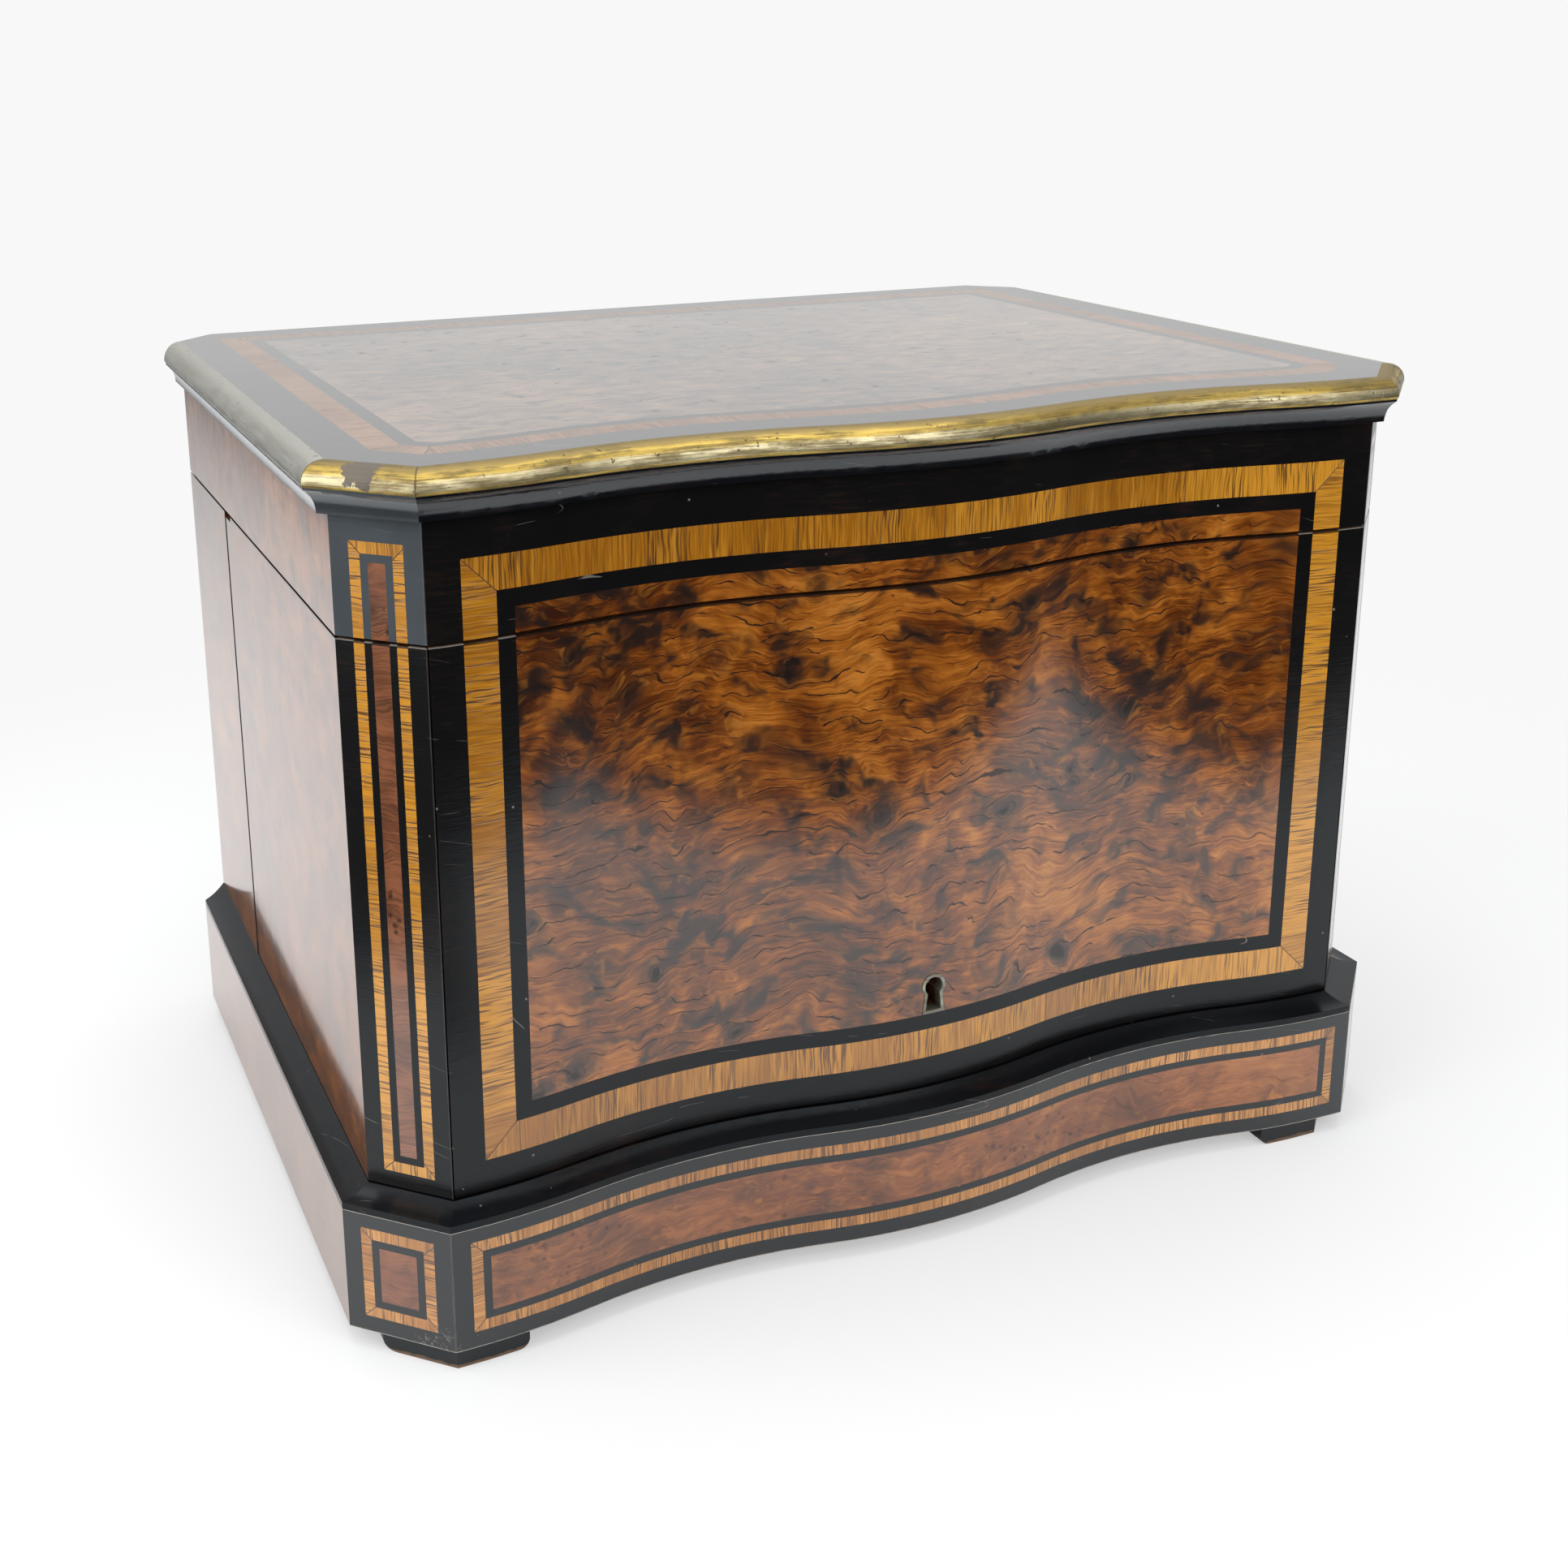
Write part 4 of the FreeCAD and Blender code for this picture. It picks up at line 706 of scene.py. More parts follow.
@dataclass(frozen=True)
class Ebonised(Finish):
    """Black-stained wood with pores, a few scratches, specks and worn arrises, and on the cut corners a
    bluish haze that is both polish bloom and painted reflection.
    """

    name: str
    base: Rgb = (0.0042, 0.0038, 0.0040)
    brown: Rgb = (0.018, 0.009, 0.006)
    worn: Rgb = (0.34, 0.30, 0.26)
    gloss: Rgb = (0.84, 0.95, 1.0)
    # Bluish haze on the cut corners: polish bloom together with painted reflection.
    bloom_and_reflection: Rgb = (0.078, 0.092, 0.104)
    bloom_and_reflection_share: float = 0.0
    bloom_and_reflection_end: Span = (0.95, 0.85)
    brown_from: Span = (0.55, 0.85)
    scratches: float = 0.42
    scratch_width: Span = (0.0022, 0.0008)
    scratch_places: Span = (0.60, 0.66)
    speck_density: float = 0.13
    speck_width: Span = (0.060, 0.028)
    speck_places: Span = (0.46, 0.58)
    chips: Span = (0.86, 1.0)
    grit: Span = (0.54, 0.66)
    coat: float = 0.6
    coat_roughness: float = 0.10
    ior: float = POLISH_IOR
    roughness: float = 0.20
    relief: float = 0.07
    dust: float = 0.0
    edges: tuple[Edge, ...] = ()
    rubs: tuple[Rub, ...] = ()

    def paint(self, graph: Graph) -> Wire:
        """Shader of the black wood.

        Args:
            graph: Node tree to add to.

        Returns:
            The shader.
        """
        at = graph.coords()
        x, y, z = graph.parts(at)
        pore = graph.noise(graph.vector((x + y) / 9.0, z / 0.7, (x - y) / 9.0), 1.0, 2.0, 0.6)
        cloudy = graph.noise(at, 0.03, 3.0, 0.6)
        lines = graph.noise(graph.vector((x + y) / 60.0, (z + x * 0.2) / 9.0, y / 60.0), 1.0, 0.0)
        scratch = graph.smooth(abs(lines - 0.5), *self.scratch_width)
        scratch = scratch * graph.smooth(graph.noise(at, 0.09, 1.0), *self.scratch_places) * self.scratches
        speck = graph.smooth(graph.cells(at, self.speck_density), *self.speck_width)
        speck = speck * graph.smooth(graph.noise(at, 0.04, 1.0), *self.speck_places)
        colour = graph.tint(graph.smooth(pore * 0.5 + cloudy * 0.6, *self.brown_from), self.base, self.brown)
        # Bluish haze on faces turned to the cut corners: bloom and painted reflection.
        if self.bloom_and_reflection_share:
            facing = abs(graph.facing()[0])
            corner = graph.smooth(facing, *CORNER_TURN) * graph.smooth(facing, *self.bloom_and_reflection_end)
            colour = graph.tint(corner * (cloudy * 0.6 + 0.5) * self.bloom_and_reflection_share, colour, self.bloom_and_reflection)
        rub = speck * 0.5
        chipped = graph.noise(at, 0.35, 3.0, 0.65)
        spread = graph.noise(at, 0.05, 2.0) * 0.5 + chipped * 0.6
        # Pale lines along arrises: wear, and on rounded arrises painted highlight.
        for edge in self.edges:
            value = (abs(x), y, z)[edge.axis.value]
            near = graph.smooth(abs(value - edge.level), edge.reach, 0.0)
            rub = rub.most(graph.smooth(spread + near * 0.55, *self.chips) * near * edge.strength)
        grit = graph.smooth(graph.noise(at, 0.9, 3.0, 0.7), *self.grit)
        for spot in self.rubs:
            away = graph.distance(at, spot.middle)
            rub = rub.most(graph.smooth(away, spot.radius, spot.radius * 0.2) * grit * 0.40)
        colour = graph.tint(rub.most(scratch), colour, self.worn)
        roughness = cloudy * 0.14 + rub * 0.3 + (self.roughness - 0.07)
        height = pore * 0.30 - rub + graph.noise(at, 0.13, 1.0) * 0.8
        return graph.surface(Base_Color=colour, Roughness=roughness, IOR=self.ior, Specular_Tint=self.gloss,
                             Coat_Weight=self.coat, Coat_Roughness=self.coat_roughness,
                             Sheen_Weight=self.dust, Normal=graph.bump(height, self.relief))


@dataclass(frozen=True)
class Mitre:
    """An upright joint between two strips, mirrored in x: a point in millimetres and the plane's normal."""

    x: float
    y: float
    turn_x: float
    turn_y: float

    def beyond(self, x: Wire, y: Wire) -> Wire:
        """Distance past the joint, positive towards the back."""
        return (abs(x) - self.x) * self.turn_x + (y - self.y) * self.turn_y


@dataclass(frozen=True)
class Brass(Finish):
    """Drawn brass with rubbed gold, pewter-grey wear, tarnish and dark spots."""

    name: str
    gold: Rgb = (0.50, 0.35, 0.085)
    rubbed: Rgb = (0.44, 0.40, 0.265)
    tarnish: Rgb = (0.150, 0.115, 0.052)
    pewter: Rgb = (0.42, 0.42, 0.39)
    foot: float = 0.0
    rounding: float = 0.0
    side_wear: float = 0.0
    mitres: tuple[Mitre, ...] = ()
    mitre_reach: float = 0.28
    bare: tuple[Rub, ...] = ()
    bare_colour: Rgb = (0.115, 0.098, 0.076)
    bare_ragged: float = 9.0
    spots: Span = (0.63, 0.70)
    ageing: Span = (0.48, 0.72)
    patches: Span = (0.55, 0.75)
    pale_foot: Span = (0.10, 0.20)
    pale_top: Span = (0.66, 0.50)
    dull_top: Span = (0.74, 0.92)
    dull_foot: Span = (0.06, 0.0)
    roughness: float = 0.35
    relief: float = 0.09

    def paint(self, graph: Graph) -> Wire:
        """Shader of the brass.

        Args:
            graph: Node tree to add to.

        Returns:
            The shader.
        """
        at = graph.coords()
        x, y, z = graph.parts(at)
        streak = graph.noise(graph.vector(x / 24.0, y / 24.0, z / 0.35), 1.0, 2.0, 0.6)
        patch = graph.noise(graph.vector(x / 14.0, y / 14.0, z / 3.0), 1.0, 5.0, 0.7)
        spot = graph.smooth(graph.noise(at, 0.42, 3.0, 0.7), *self.spots)
        age = graph.smooth(patch * 0.80 + streak * 0.40, *self.ageing) * 0.88
        colour = self.gold
        if self.rounding:
            height = (z - self.foot) / self.rounding + graph.wobble(at, 0.07, 3.0, 0.22, 0.6)
            pale = graph.smooth(height, *self.pale_foot) * graph.smooth(height, *self.pale_top)
            colour = graph.tint(pale * 0.9, colour, self.rubbed)
            age = age.most(graph.smooth(height, *self.dull_top) * 0.75)
            age = age.most(graph.smooth(height, *self.dull_foot))
        else:
            colour = graph.tint(graph.smooth(patch, *self.patches), colour, self.rubbed)
        colour = graph.tint(age, colour, self.tarnish)
        for mitre in self.mitres[-1:]:
            dulled = graph.smooth(mitre.beyond(x, y), -0.2, 0.2) * self.side_wear
            colour = graph.tint(dulled, colour, self.pewter)
        for mitre in self.mitres:
            line = graph.smooth(abs(mitre.beyond(x, y)), self.mitre_reach, self.mitre_reach * 0.4)
            spot = spot.most(line)
        colour = graph.tint(spot * 0.7, colour, tuple(0.35 * part for part in self.tarnish))
        roughness = streak * 0.14 + age * 0.16 + spot * 0.2 + (self.roughness - 0.07)
        metal = 1.0 - spot * 0.5
        ragged = graph.wobble(at, 0.55, 4.0, self.bare_ragged, 0.65)
        for place in self.bare:
            gone = graph.smooth(graph.distance(at, place.middle) + ragged, place.radius, place.radius * 0.9)
            colour = graph.tint(gone, colour, self.bare_colour)
            metal = metal * (1.0 - gone * 0.6)
            roughness = roughness + gone * 0.15
        return graph.surface(Base_Color=colour, Metallic=metal, Roughness=roughness,
                             Normal=graph.bump(streak * 0.4 + patch - spot * 0.6, self.relief))


@dataclass(frozen=True)
class Steel(Finish):
    """Plain filed steel of the lock and the screws."""

    name: str
    bright: Rgb = (0.42, 0.41, 0.40)
    dull: Rgb = (0.16, 0.145, 0.13)
    dulling: Span = (0.42, 0.66)
    relief: float = 0.02

    def paint(self, graph: Graph) -> Wire:
        """Shader of the steel.

        Args:
            graph: Node tree to add to.

        Returns:
            The shader.
        """
        at = graph.coords()
        x, y, z = graph.parts(at)
        filed = graph.noise(graph.vector(x / 0.3, y / 0.3, z / 8.0), 1.0, 2.0)
        dull = graph.smooth(graph.noise(at, 0.12, 3.0, 0.6), *self.dulling)
        colour = graph.tint(dull, self.bright, self.dull)
        return graph.surface(Base_Color=colour, Metallic=1.0, Roughness=filed * 0.2 + dull * 0.15 + 0.22,
                             Normal=graph.bump(filed, self.relief))


@dataclass(frozen=True)
class Timber(Finish):
    """Plain polished wood with straight grain and end grain, for the carcass and the tray."""

    name: str
    light: Rgb = (0.185, 0.075, 0.030)
    dark: Rgb = (0.050, 0.018, 0.008)
    run: Axis = Axis.X
    end_turn: Span = (0.75, 0.92)
    lightness: Span = (0.40, 0.78)
    roughness: float = 0.32
    relief: float = 0.08

    def paint(self, graph: Graph) -> Wire:
        """Shader of the wood.

        Args:
            graph: Node tree to add to.

        Returns:
            The shader.
        """
        at = graph.coords()
        parts = graph.parts(at + graph.wobble(at, 0.018, 1.0, 10.0, colour=True))
        along = parts[self.run.value]
        across, through = (part for axis, part in enumerate(parts) if axis != self.run.value)
        rings = graph.noise(graph.vector(along / 120.0, across / 5.0, through / 5.0), 1.0, 3.0, 0.6)
        pore = graph.noise(graph.vector(along / 9.0, across / 0.6, through / 0.6), 1.0, 2.0, 0.6)
        end = graph.smooth(abs(graph.facing()[self.run.value]), *self.end_turn)
        years = graph.noise(graph.vector(along / 120.0, across / 45.0, through / 1.5), 1.0, 2.0, 0.5)
        tone = (rings * 0.8 + pore * 0.35) * (1.0 - end) + (years * 0.7 + 0.17) * end
        colour = graph.tint(graph.smooth(tone, *self.lightness), self.dark, self.light)
        return graph.surface(Base_Color=colour, Roughness=pore * 0.2 + (self.roughness - 0.1), IOR=POLISH_IOR,
                             Normal=graph.bump(pore * (1.0 - end), self.relief))


@dataclass(frozen=True)
class GiltLine:
    """A painted gold line between two levels in millimetres."""

    low: float
    high: float
    soft: float = 0.05


@dataclass(frozen=True)
class ClearGlass(Finish):
    """Clear blown glass with a faint ripple and painted gold lines."""

    name: str
    colour: Rgb = (0.97, 0.985, 0.975)
    gilding: Rgb = (0.72, 0.46, 0.13)
    gilt: tuple[GiltLine, ...] = ()
    ior: float = 1.5
    roughness: float = 0.02
    gilt_roughness: float = 0.22
    ripple: float = 0.2

    def paint(self, graph: Graph) -> Wire:
        """Shader of the glass.

        Args:
            graph: Node tree to add to.

        Returns:
            The shader.
        """
        at = graph.coords()
        ripple = graph.bump(graph.noise(at, 0.06, 1.0), self.ripple)
        shader = graph.surface(Base_Color=self.colour, Roughness=self.roughness, IOR=self.ior,
                               Transmission_Weight=1.0, Normal=ripple)
        level = graph.parts(at)[2]
        for line in self.gilt:
            below = graph.smooth(level, line.high + line.soft, line.high - line.soft)
            inside = graph.smooth(level, line.low - line.soft, line.low + line.soft) * below
            gold = graph.surface(Base_Color=self.gilding, Metallic=1.0, Roughness=self.gilt_roughness)
            shader = graph.blend(inside, shader, gold)
        return shader


def dress(node: str, material: bpy.types.Material) -> None:
    """Give a carried-over node its material.

    Args:
        node: Name of the node.
        material: Material for all its faces.
    """
    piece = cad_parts[node]
    if not piece.material_slots:
        piece.data.materials.append(None)
    for slot in piece.material_slots:
        slot.material = material
    LOG.info("dressed %s with %s", node, material.name)


def reach(node: str, axis: Axis, test: Callable[[Vector], bool]) -> tuple[float, float]:
    """Lowest and highest coordinate of a node's chosen points, in millimetres.

    Args:
        node: Name of the node.
        axis: Axis to measure along.
        test: Says whether a point counts.

    Returns:
        The two limits.
    """
    found = [v.co[axis.value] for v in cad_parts[node].data.vertices if test(v.co)]
    return min(found) * PER_METRE, max(found) * PER_METRE


@dataclass
class Patterns:
    """Frames of crossbanding and worn edges in millimetres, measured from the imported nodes."""

    flap_gap: float = 0.4
    margin: float = 1.0
    near: float = 0.3
    arris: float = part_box("flap_panel")[1].x * PER_METRE + flap_gap
    seam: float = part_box("flap_panel")[1].z * PER_METRE
    plinth_foot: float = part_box("plinth_ebony")[0].z * PER_METRE

    def on_front(self, point: Vector) -> bool:
        """True between the arrises of the front."""
        return abs(point.x) < (self.arris + self.margin) * MM

    def on_left(self, point: Vector) -> bool:
        """True left of the front's left arris."""
        return point.x < -(self.arris + self.margin) * MM

    def corner_ring(self, lower: str, upper: str) -> CornerRing:
        """Measure the frame on a cut corner.

        Args:
            lower: Node that holds its foot.
            upper: Node that holds its top.

        Returns:
            The frame.
        """
        outer, inner = (-end for end in reach(lower, Axis.X, self.on_left))
        low = reach(lower, Axis.Z, self.on_left)[0]
        high = reach(upper, Axis.Z, self.on_left)[1]
        return CornerRing((inner + outer) / 2, (outer - inner) / 2 * DIAGONAL, low, high)

    def mitres(self) -> tuple[Mitre, Mitre]:
        """Find the moulding's joints at the two arrises of a cut corner.

        Returns:
            The front joint and the rear one.
        """
        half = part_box("right_door_burl")[1].x * PER_METRE
        corner = reach("right_door_burl", Axis.Y, lambda point: point.x > (half - self.near) * MM)[0]
        front = corner - (half - self.arris)
        more, less = math.cos(math.pi / 8), math.sin(math.pi / 8)
        return Mitre(self.arris, front, more, less), Mitre(half, corner, less, more)

    def front_band(self) -> Crossband:
        """Measure the frame round the serpentine front.

        Returns:
            Its finish.
        """
        high = reach("lid_rim_crossband", Axis.Z, self.on_front)[1]
        low_corner, high_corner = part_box("flap_crossband")
        corner = self.corner_ring("left_door_crossband", "lid_rim_crossband")
        return Crossband("front_crossband", high_corner.x * PER_METRE, low_corner.z * PER_METRE, high,
                         corner=corner, arris=self.arris, worn=SeamWearAndLight(self.seam), right_light_and_corner_pale=0.45)

    def plinth_band(self) -> Crossband:
        """Measure the frame round the plinth's front.

        Returns:
            Its finish.
        """
        half = reach("plinth_crossband", Axis.X, self.on_front)[1]
        low, high = reach("plinth_crossband", Axis.Z, self.on_front)
        corner = self.corner_ring("plinth_crossband", "plinth_crossband")
        return Crossband("plinth_crossband", half, low, high, corner=corner, arris=self.arris + self.margin,
                         piece=34.0, base=(0.280, 0.105, 0.018), pale=(0.540, 0.245, 0.060))

    def top_band(self) -> Crossband:
        """Measure the frame on the lid top.

        Returns:
            Its finish.
        """
        low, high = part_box("lid_top_crossband")
        front = reach("lid_top_crossband", Axis.Y, lambda point: point.x < low.x + self.margin * MM)[0]
        return Crossband("top_crossband", high.x * PER_METRE, low.y * PER_METRE, high.y * PER_METRE,
                         cut_corner=high.x * PER_METRE - front, coat=0.85,
                         base=(0.170, 0.078, 0.030), pale=(0.310, 0.160, 0.080))


@dataclass
class Plinth:
    """Feet, plinth boards with their inlay, cove moulding and bottom board."""

    patterns: Patterns
    step_out: float = 3.3
    scuff_shift: Place = (-4.0, 4.0, 1.0)
    scuff_radius: float = 9.0
    burl_stops: Stops = (
        (0.20, (0.065, 0.018, 0.006)), (0.42, (0.155, 0.045, 0.012)), (0.58, (0.250, 0.078, 0.019)),
        (0.78, (0.360, 0.130, 0.036)))

    def dress(self) -> None:
        """Give the plinth its finishes."""
        foot = self.patterns.plinth_foot
        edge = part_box("plinth_ebony")[1].z * PER_METRE
        arris = self.patterns.arris + self.step_out
        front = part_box("plinth_ebony")[0].y * PER_METRE
        scuff = Rub(tuple(Vector((-arris, front, foot)) + Vector(self.scuff_shift)), self.scuff_radius)
        # Pale lines along the plinth's top edge and front arrises: wear and painted highlight; along the
        # foot: wear.
        worn = (Edge(Axis.Z, foot, reach=0.6, strength=0.8), Edge(Axis.Z, edge, reach=0.5, strength=0.9),
                Edge(Axis.X, arris, reach=0.8, strength=0.10))
        black = Ebonised("plinth_black", roughness=0.26, rubs=(scuff,), edges=worn)
        cove = Ebonised("plinth_cove_black", base=(0.0035, 0.0038, 0.0050), roughness=0.22, coat=0.0,
                        ior=1.33)
        foot_black = Ebonised("foot_black", roughness=0.34, coat=0.0, worn=(0.15, 0.085, 0.045),
                              edges=(Edge(Axis.Z, 0.0, reach=2.4, strength=0.9),))
        burl = Burl("plinth_burl", stops=self.burl_stops, smoky=0.40, sway=20.0, curl=7.0, cracks=0.35,
                    dots=0.55, eyes=0.03, eye_reach=8.0, corner_colour=(0.150, 0.048, 0.019),
                    side_colour=(0.100, 0.070, 0.048))
        dress("feet", foot_black.material())
        dress("plinth_boards", Timber("plinth_wood").material())
        dress("bottom_board", Timber("bottom_wood").material())
        dress("plinth_moulding", cove.material())
        dress("plinth_burl", burl.material())
        dress("plinth_crossband", self.patterns.plinth_band().material())
        dress("plinth_ebony", black.material())


@dataclass
class Outside:
    """Veneered faces of the flap, the doors, the rear stiles and the lid's rim."""

    patterns: Patterns

    def dress(self) -> None:
        """Give the upright faces their finishes, shared so that they run on across the seams."""
        seam = self.patterns.seam
        arris = self.patterns.arris
        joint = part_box("stile_veneers")[0].y * PER_METRE
        burl = Burl("front_burl", worn=SeamWearAndLight(seam), joints=(joint,)).material()
        rim_burl = Burl("rim_burl", worn=SeamWearAndLight(seam)).material()
        band = self.patterns.front_band().material()
        # Pale lines at the seam and the front arrises: wear and painted highlight.
        edges = (Edge(Axis.Z, seam, reach=0.5, strength=0.6), Edge(Axis.X, arris, reach=0.6, strength=0.10))
        black = Ebonised("front_black", edges=edges, coat=0.0, ior=1.42).material()
        # The rim's cut corners get the bluish haze of bloom and painted reflection.
        rim_black = Ebonised("rim_black", edges=edges, coat=0.0, ior=1.42, bloom_and_reflection_share=0.75).material()
        for node in ("flap_burl", "left_door_burl", "right_door_burl", "stile_veneers"):
            dress(node, burl)
        dress("lid_rim_burl", rim_burl)
        for node in ("flap_crossband", "lid_rim_crossband", "left_door_crossband", "right_door_crossband"):
            dress(node, band)
        for node in ("flap_ebony", "left_door_ebony", "right_door_ebony"):
            dress(node, black)
        dress("lid_rim_ebony", rim_black)


@dataclass
class Carcass:
    """Plain wood behind the veneers, and the metal fittings."""

    fitting_gold: Rgb = (0.62, 0.43, 0.14)
    plate_gold: Rgb = (0.42, 0.42, 0.35)
    plate_rubbed: Rgb = (0.50, 0.50, 0.43)
    plate_tarnish: Rgb = (0.20, 0.19, 0.15)

    def dress(self) -> None:
        """Give the wood and the fittings their finishes."""
        level = Timber("carcass_wood").material()
        sideways = Timber("side_wood", run=Axis.Y).material()
        upright = Timber("post_wood", run=Axis.Z).material()
        fittings = Brass("fitting_brass", gold=self.fitting_gold).material()
        dull = Brass("escutcheon_brass", gold=self.plate_gold, rubbed=self.plate_rubbed,
                     tarnish=self.plate_tarnish, roughness=0.45).material()
        steel = Steel("lock_steel").material()
        for node in ("back_panel", "flap_panel", "lid_top_board", "lid_front_rail", "lid_back_rail"):
            dress(node, level)
        for node in ("left_side_panel", "right_side_panel", "lid_side_rails"):
            dress(node, sideways)
        for node in ("rear_stiles", "left_corner_post", "right_corner_post"):
            dress(node, upright)
        for node in ("strike_plate", "door_top_pivots", "door_bottom_pivots", "lid_hinge_case_leaves",
                     "lid_hinge_lid_leaves", "lid_hinge_pins", "flap_hinge_lid_leaves",
                     "flap_hinge_flap_leaves", "flap_hinge_pins", "lock_cover"):
            dress(node, fittings)
        dress("keyhole_escutcheon", dull)
        for node in ("lock_case", "lock_bolt", "case_screws", "lid_screws", "flap_screws"):
            dress(node, steel)


@dataclass
class Lid:
    """Top inlay, cavetto and brass thumb moulding of the lid."""

    patterns: Patterns
    bare_left: float = 12.0
    bare_back: float = 13.0
    bare_height: float = 0.85
    bare_radius: float = 5.2
    top_stops: Stops = (
        (0.30, (0.052, 0.028, 0.015)), (0.46, (0.112, 0.061, 0.031)), (0.58, (0.178, 0.100, 0.052)),
        (0.74, (0.275, 0.162, 0.092)))

    def dress(self) -> None:
        """Give the lid its finishes."""
        low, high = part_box("lid_brass_moulding")
        foot = low.z * PER_METRE
        rounding = (high.z - low.z) * PER_METRE
        left = -self.patterns.arris - self.bare_left
        back = low.y * PER_METRE + self.bare_back
        bare = Rub((left, back, foot + rounding * self.bare_height), self.bare_radius)
        brass = Brass("thumb_brass", foot=foot, rounding=rounding, side_wear=0.9, bare=(bare,),
                      mitres=self.patterns.mitres())
        # The cavetto's turned faces get the bluish haze of bloom and painted reflection.
        cavetto = Ebonised("cavetto_black", base=(0.0035, 0.0040, 0.0055), roughness=0.13, bloom_and_reflection_share=0.5)
        black = Ebonised("top_black", roughness=0.18, coat=1.0, dust=0.05)
        burl = Burl("top_burl", grain=Grain.FLAT, size=0.6, stops=self.top_stops, dust=0.13)
        dress("lid_brass_moulding", brass.material())
        dress("lid_cavetto", cavetto.material())
        dress("lid_top_ebony", black.material())
        dress("lid_top_crossband", self.patterns.top_band().material())
        dress("lid_top_burl", burl.material())


@dataclass
class Tray:
    """Fitted tray with its decanters and glasses."""

    gilt_width: float = 1.1
    decanter_gilt: tuple[float, ...] = (0.02, 0.45)
    glass_gilt: tuple[float, ...] = (0.02, 0.10)

    def dress(self) -> None:
        """Give the tray and the glassware their finishes."""
        wood = Timber("tray_rosewood", light=(0.16, 0.055, 0.024), dark=(0.032, 0.011, 0.006), roughness=0.24)
        material = wood.material()
        for node in ("tray_board", "tray_gallery", "tray_deck"):
            dress(node, material)
        dress("tray_handle", Brass("handle_brass").material())
        decanter_lines = self.gilt("decanters", self.decanter_gilt)
        glass_lines = self.gilt("glasses", self.glass_gilt)
        dress("decanters", ClearGlass("decanter_glass", gilt=decanter_lines).material())
        dress("glasses", ClearGlass("glass_glass", gilt=glass_lines).material())
        dress("stoppers", ClearGlass("stopper_glass").material())

    def gilt(self, node: str, shares: tuple[float, ...]) -> tuple[GiltLine, ...]:
        """Gold lines at shares of a node's height below its top.

        Args:
            node: Name of the node.
            shares: Where the lines start.

        Returns:
            The lines.
        """
        foot, top = (corner.z * PER_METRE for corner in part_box(node))
        starts = [top - (top - foot) * share for share in shares]
        return tuple(GiltLine(start - self.gilt_width, start) for start in starts)


@dataclass(frozen=True)
class Softbox:
    """A large soft lamp: its place, aim and size in metres, and its power in watts."""

    name: str
    place: Place
    aim: Place
    size: float
    power: float

    def build(self) -> None:
        """Hang the lamp and turn it to what it lights."""
        lamp = bpy.data.lights.new(self.name, "AREA")
        lamp.shape = "SQUARE"
        lamp.size = self.size
        lamp.energy = self.power
        lamp_object = bpy.data.objects.new(self.name, lamp)
        bpy.context.scene.collection.objects.link(lamp_object)
        way = Vector(self.aim) - Vector(self.place)
        lamp_object.location = self.place
        lamp_object.rotation_euler = way.to_track_quat("-Z", "Y").to_euler()


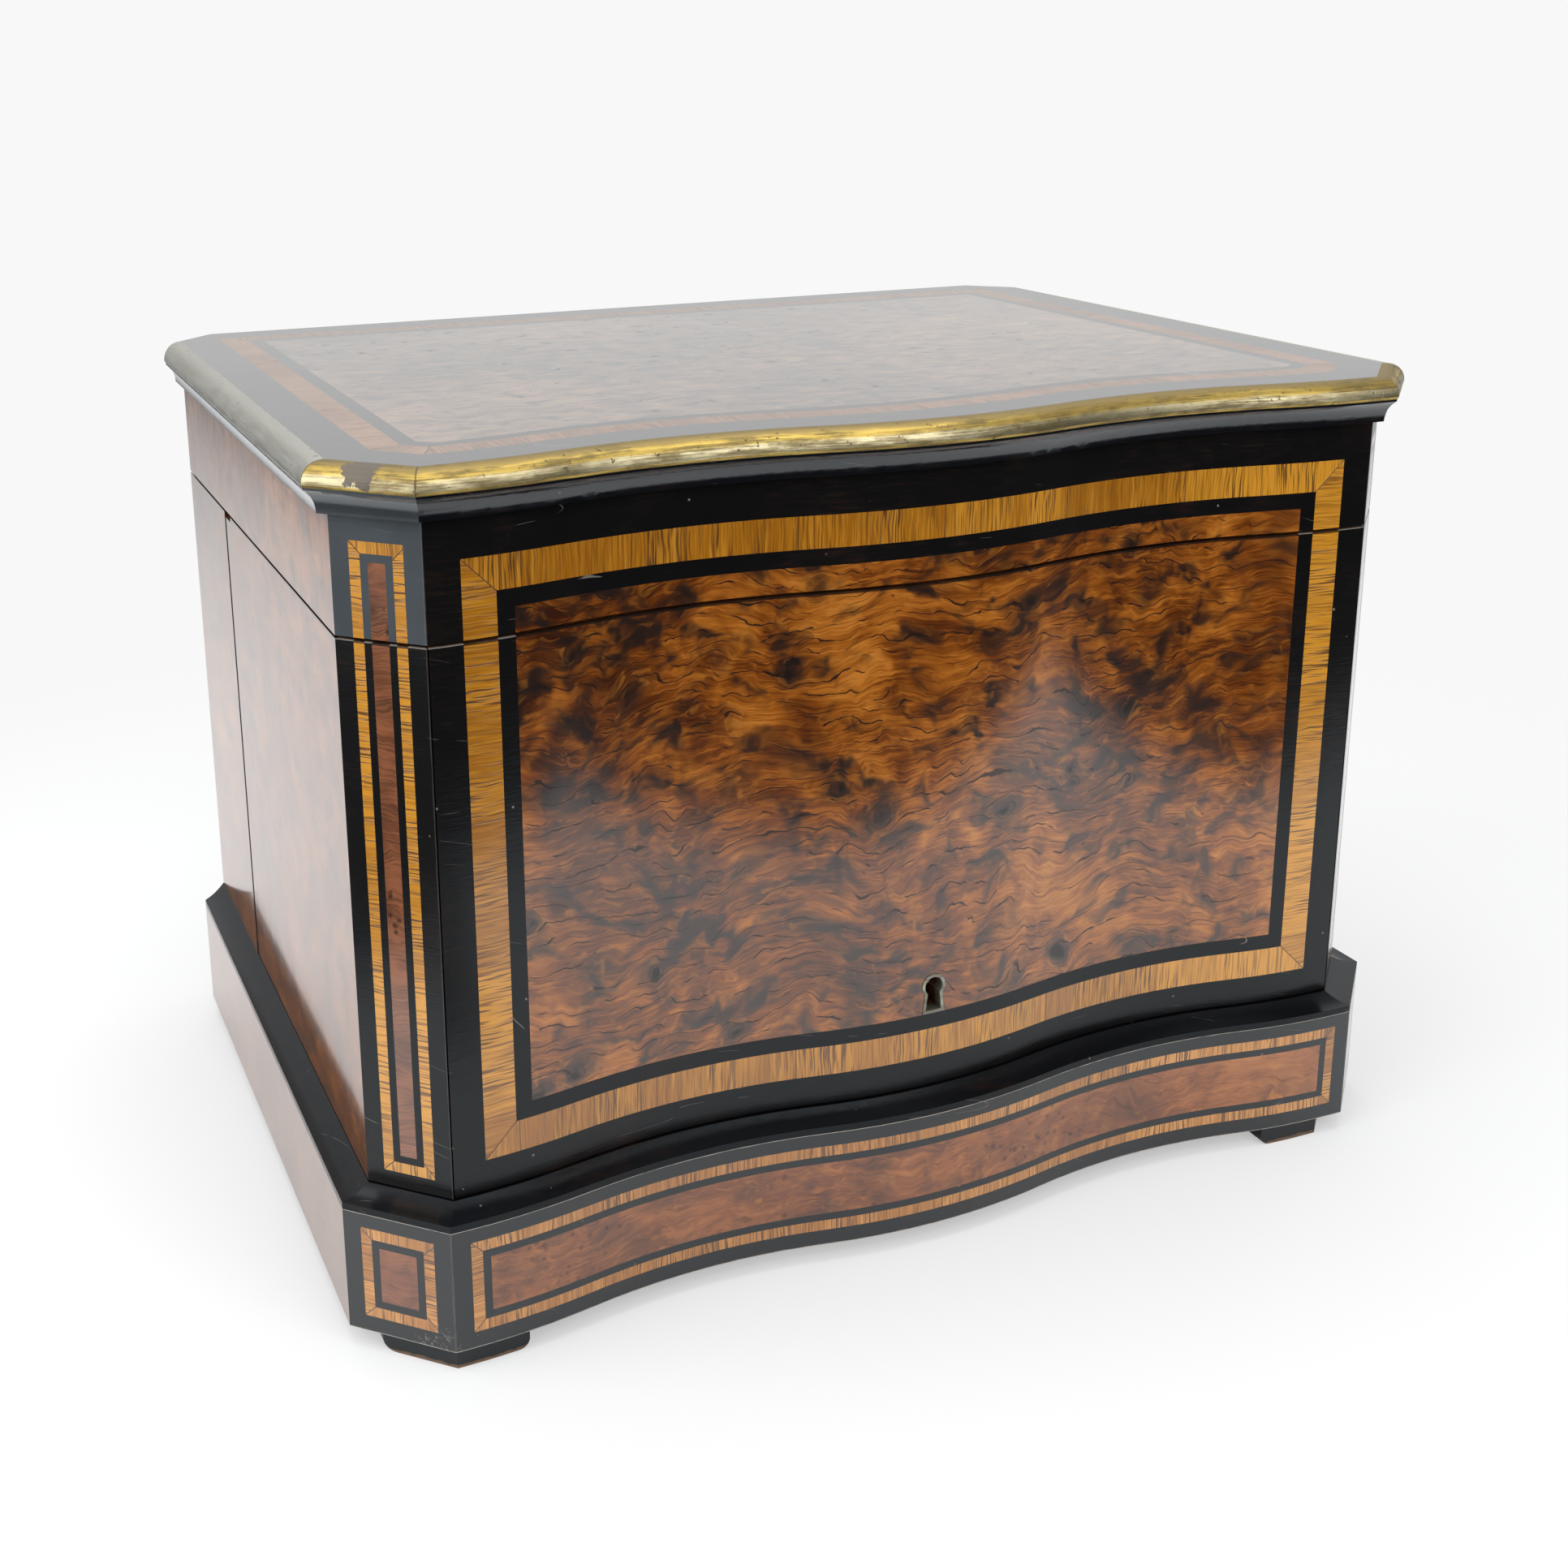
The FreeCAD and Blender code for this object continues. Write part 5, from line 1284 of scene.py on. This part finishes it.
@dataclass
class Studio:
    """White table, soft lamps, pale surroundings and the camera of the photograph; places are in metres."""

    table_front: float = -0.53
    table_left: float = -0.80
    table_reach: float = 3.0
    table_colour: Rgb = (0.77, 0.78, 0.79)
    table_roughness: float = 0.9
    rim_colour: Rgb = (0.02, 0.02, 0.02)
    white_front: Span = (-0.47, -0.36)
    white_left: Span = (-0.42, -0.32)
    dark_corner: Span = (-0.09, -0.03)
    dark_corner_back: Span = (-0.31, -0.255)
    white: Rgb = (1.0, 1.0, 1.0)
    paper: float = 0.94
    clear_from: Span = (0.24, 0.62)
    clear_least: float = 0.45
    clear_squash: float = 1.1
    ambient: float = 0.42
    room_front: Span = (-0.10, -0.45)
    room_top: Span = (0.62, 0.30)
    room_dark: float = 0.97
    ceiling_from: Span = (0.45, 0.75)
    ceiling_dark: float = 0.62
    horizon: float = 0.64
    horizon_from: Span = (0.22, 0.42)
    horizon_rise: float = 0.34
    left_from: Span = (0.1, -0.2)
    left_dark: float = 0.14
    lamps: tuple[Softbox, ...] = (
        Softbox("lamp_above", place=(0.05, 0.15, 1.25), aim=(0.0, 0.0, 0.15), size=1.3, power=13.0),
        Softbox("lamp_left", place=(-1.05, -0.15, 0.65), aim=(-0.1, 0.0, 0.12), size=1.4, power=14.0),
        Softbox("lamp_front", place=(0.25, -1.45, 1.05), aim=(0.0, -0.1, 0.12), size=1.3, power=16.0))
    camera_place: Place = (-0.25871, -0.55610, 0.33589)
    camera_forward: Place = (0.3811, 0.8844, -0.2696)
    camera_up: Place = (0.1146, 0.2441, 0.9629)
    camera_sensor: float = 36.0
    camera_lens: float = 45.07
    camera_shift: tuple[float, float] = (0.0520, -0.1254)

    def build_table(self) -> None:
        """Lay the table top, which isn't part of the case."""
        mesh = bpy.data.meshes.new("table_top")
        table = bpy.data.objects.new("table_top", mesh)
        bpy.context.scene.collection.objects.link(table)
        form = bmesh.new()
        far = self.table_reach
        left, front = self.table_left, self.table_front
        corners = [(left, front), (far, front), (far, far), (left, far)]
        form.faces.new([form.verts.new((x, y, 0.0)) for x, y in corners])
        form.to_mesh(mesh)
        form.free()
        material = bpy.data.materials.new("table_white")
        material.use_nodes = True
        self.paint_table(Graph(material.node_tree))
        mesh.materials.append(material)

    def paint_table(self, graph: Graph) -> None:
        """White that keeps the shadow and fades into the background; the camera doesn't see its dark rims.

        Args:
            graph: Node tree of the table's material.
        """
        x, y, _ = graph.parts(graph.node("ShaderNodeTexCoord", output="Object"))
        flat = graph.vector(x, y * self.clear_squash, 0.0)
        distance = graph.node("ShaderNodeVectorMath", {"operation": "LENGTH"}, {0: flat}, "Value")
        ray = graph.node("ShaderNodeLightPath", output="Is Camera Ray")
        seen = ray.most(Wire(graph, ray.socket.node.outputs["Is Transmission Ray"]))
        clear = graph.smooth(distance, *self.clear_from) * (1.0 - self.clear_least) + self.clear_least
        bright = graph.smooth(y, *self.white_front) * graph.smooth(x, *self.white_left)
        bright = bright * graph.smooth(x, *self.dark_corner).most(graph.smooth(y, *self.dark_corner_back))
        colour = graph.tint(bright.most(seen), self.rim_colour, self.table_colour)
        matt = graph.surface(Base_Color=colour, Roughness=self.table_roughness)
        glow = graph.node("ShaderNodeEmission", inputs={"Color": self.white, "Strength": self.paper})
        graph.finish(graph.blend(clear * seen, matt, glow))

    def build_world(self) -> None:
        """White for the camera, even for soft light, and for reflections dim above and dark in front."""
        world = bpy.data.worlds.new("surroundings")
        bpy.context.scene.world = world
        world.use_nodes = True
        graph = Graph(world.node_tree)
        x, y, z = graph.parts(graph.node("ShaderNodeTexCoord", output="Generated"))
        ray = graph.node("ShaderNodeLightPath", output="Is Camera Ray")
        glossy = Wire(graph, ray.socket.node.outputs["Is Glossy Ray"])
        through = Wire(graph, ray.socket.node.outputs["Is Transmission Ray"])
        room = graph.smooth(y, *self.room_front) * graph.smooth(z, *self.room_top)
        shiny = self.horizon + graph.smooth(z, *self.horizon_from) * self.horizon_rise
        shiny = shiny - graph.smooth(z, *self.ceiling_from) * self.ceiling_dark
        shiny = shiny * (1.0 - room * self.room_dark)
        shiny = shiny * (1.0 - graph.smooth(x, *self.left_from) * self.left_dark)
        level = self.ambient + (shiny - self.ambient) * glossy.most(through)
        level = level + (self.paper - level) * ray
        sky = graph.node("ShaderNodeBackground", inputs={"Color": self.white, "Strength": level})
        graph.finish(sky, "ShaderNodeOutputWorld")

    def build_camera(self) -> None:
        """Camera at the place and angle of the photograph."""
        camera = bpy.data.cameras.new("photo_camera")
        camera.sensor_width = self.camera_sensor
        camera.lens = self.camera_lens
        camera.shift_x, camera.shift_y = self.camera_shift
        camera_object = bpy.data.objects.new("photo_camera", camera)
        bpy.context.scene.collection.objects.link(camera_object)
        back = -Vector(self.camera_forward).normalized()
        right = Vector(self.camera_up).cross(back).normalized()
        up = back.cross(right)
        turn = Matrix((right, up, back)).transposed().to_4x4()
        camera_object.matrix_world = Matrix.Translation(self.camera_place) @ turn
        bpy.context.scene.camera = camera_object

    def build(self) -> None:
        """Set up the whole studio."""
        bpy.context.scene.view_settings.view_transform = "Standard"
        self.build_table()
        self.build_world()
        for lamp in self.lamps:
            lamp.build()
        self.build_camera()


def main() -> None:
    """Dress the case and set up the studio."""
    logging.basicConfig(level=logging.INFO, format="%(message)s")
    patterns = Patterns()
    for assembly in (Plinth(patterns), Outside(patterns), Carcass(), Lid(patterns), Tray()):
        LOG.info("building %s", type(assembly).__name__)
        assembly.dress()
    Studio().build()


if __name__ == "__main__":
    main()
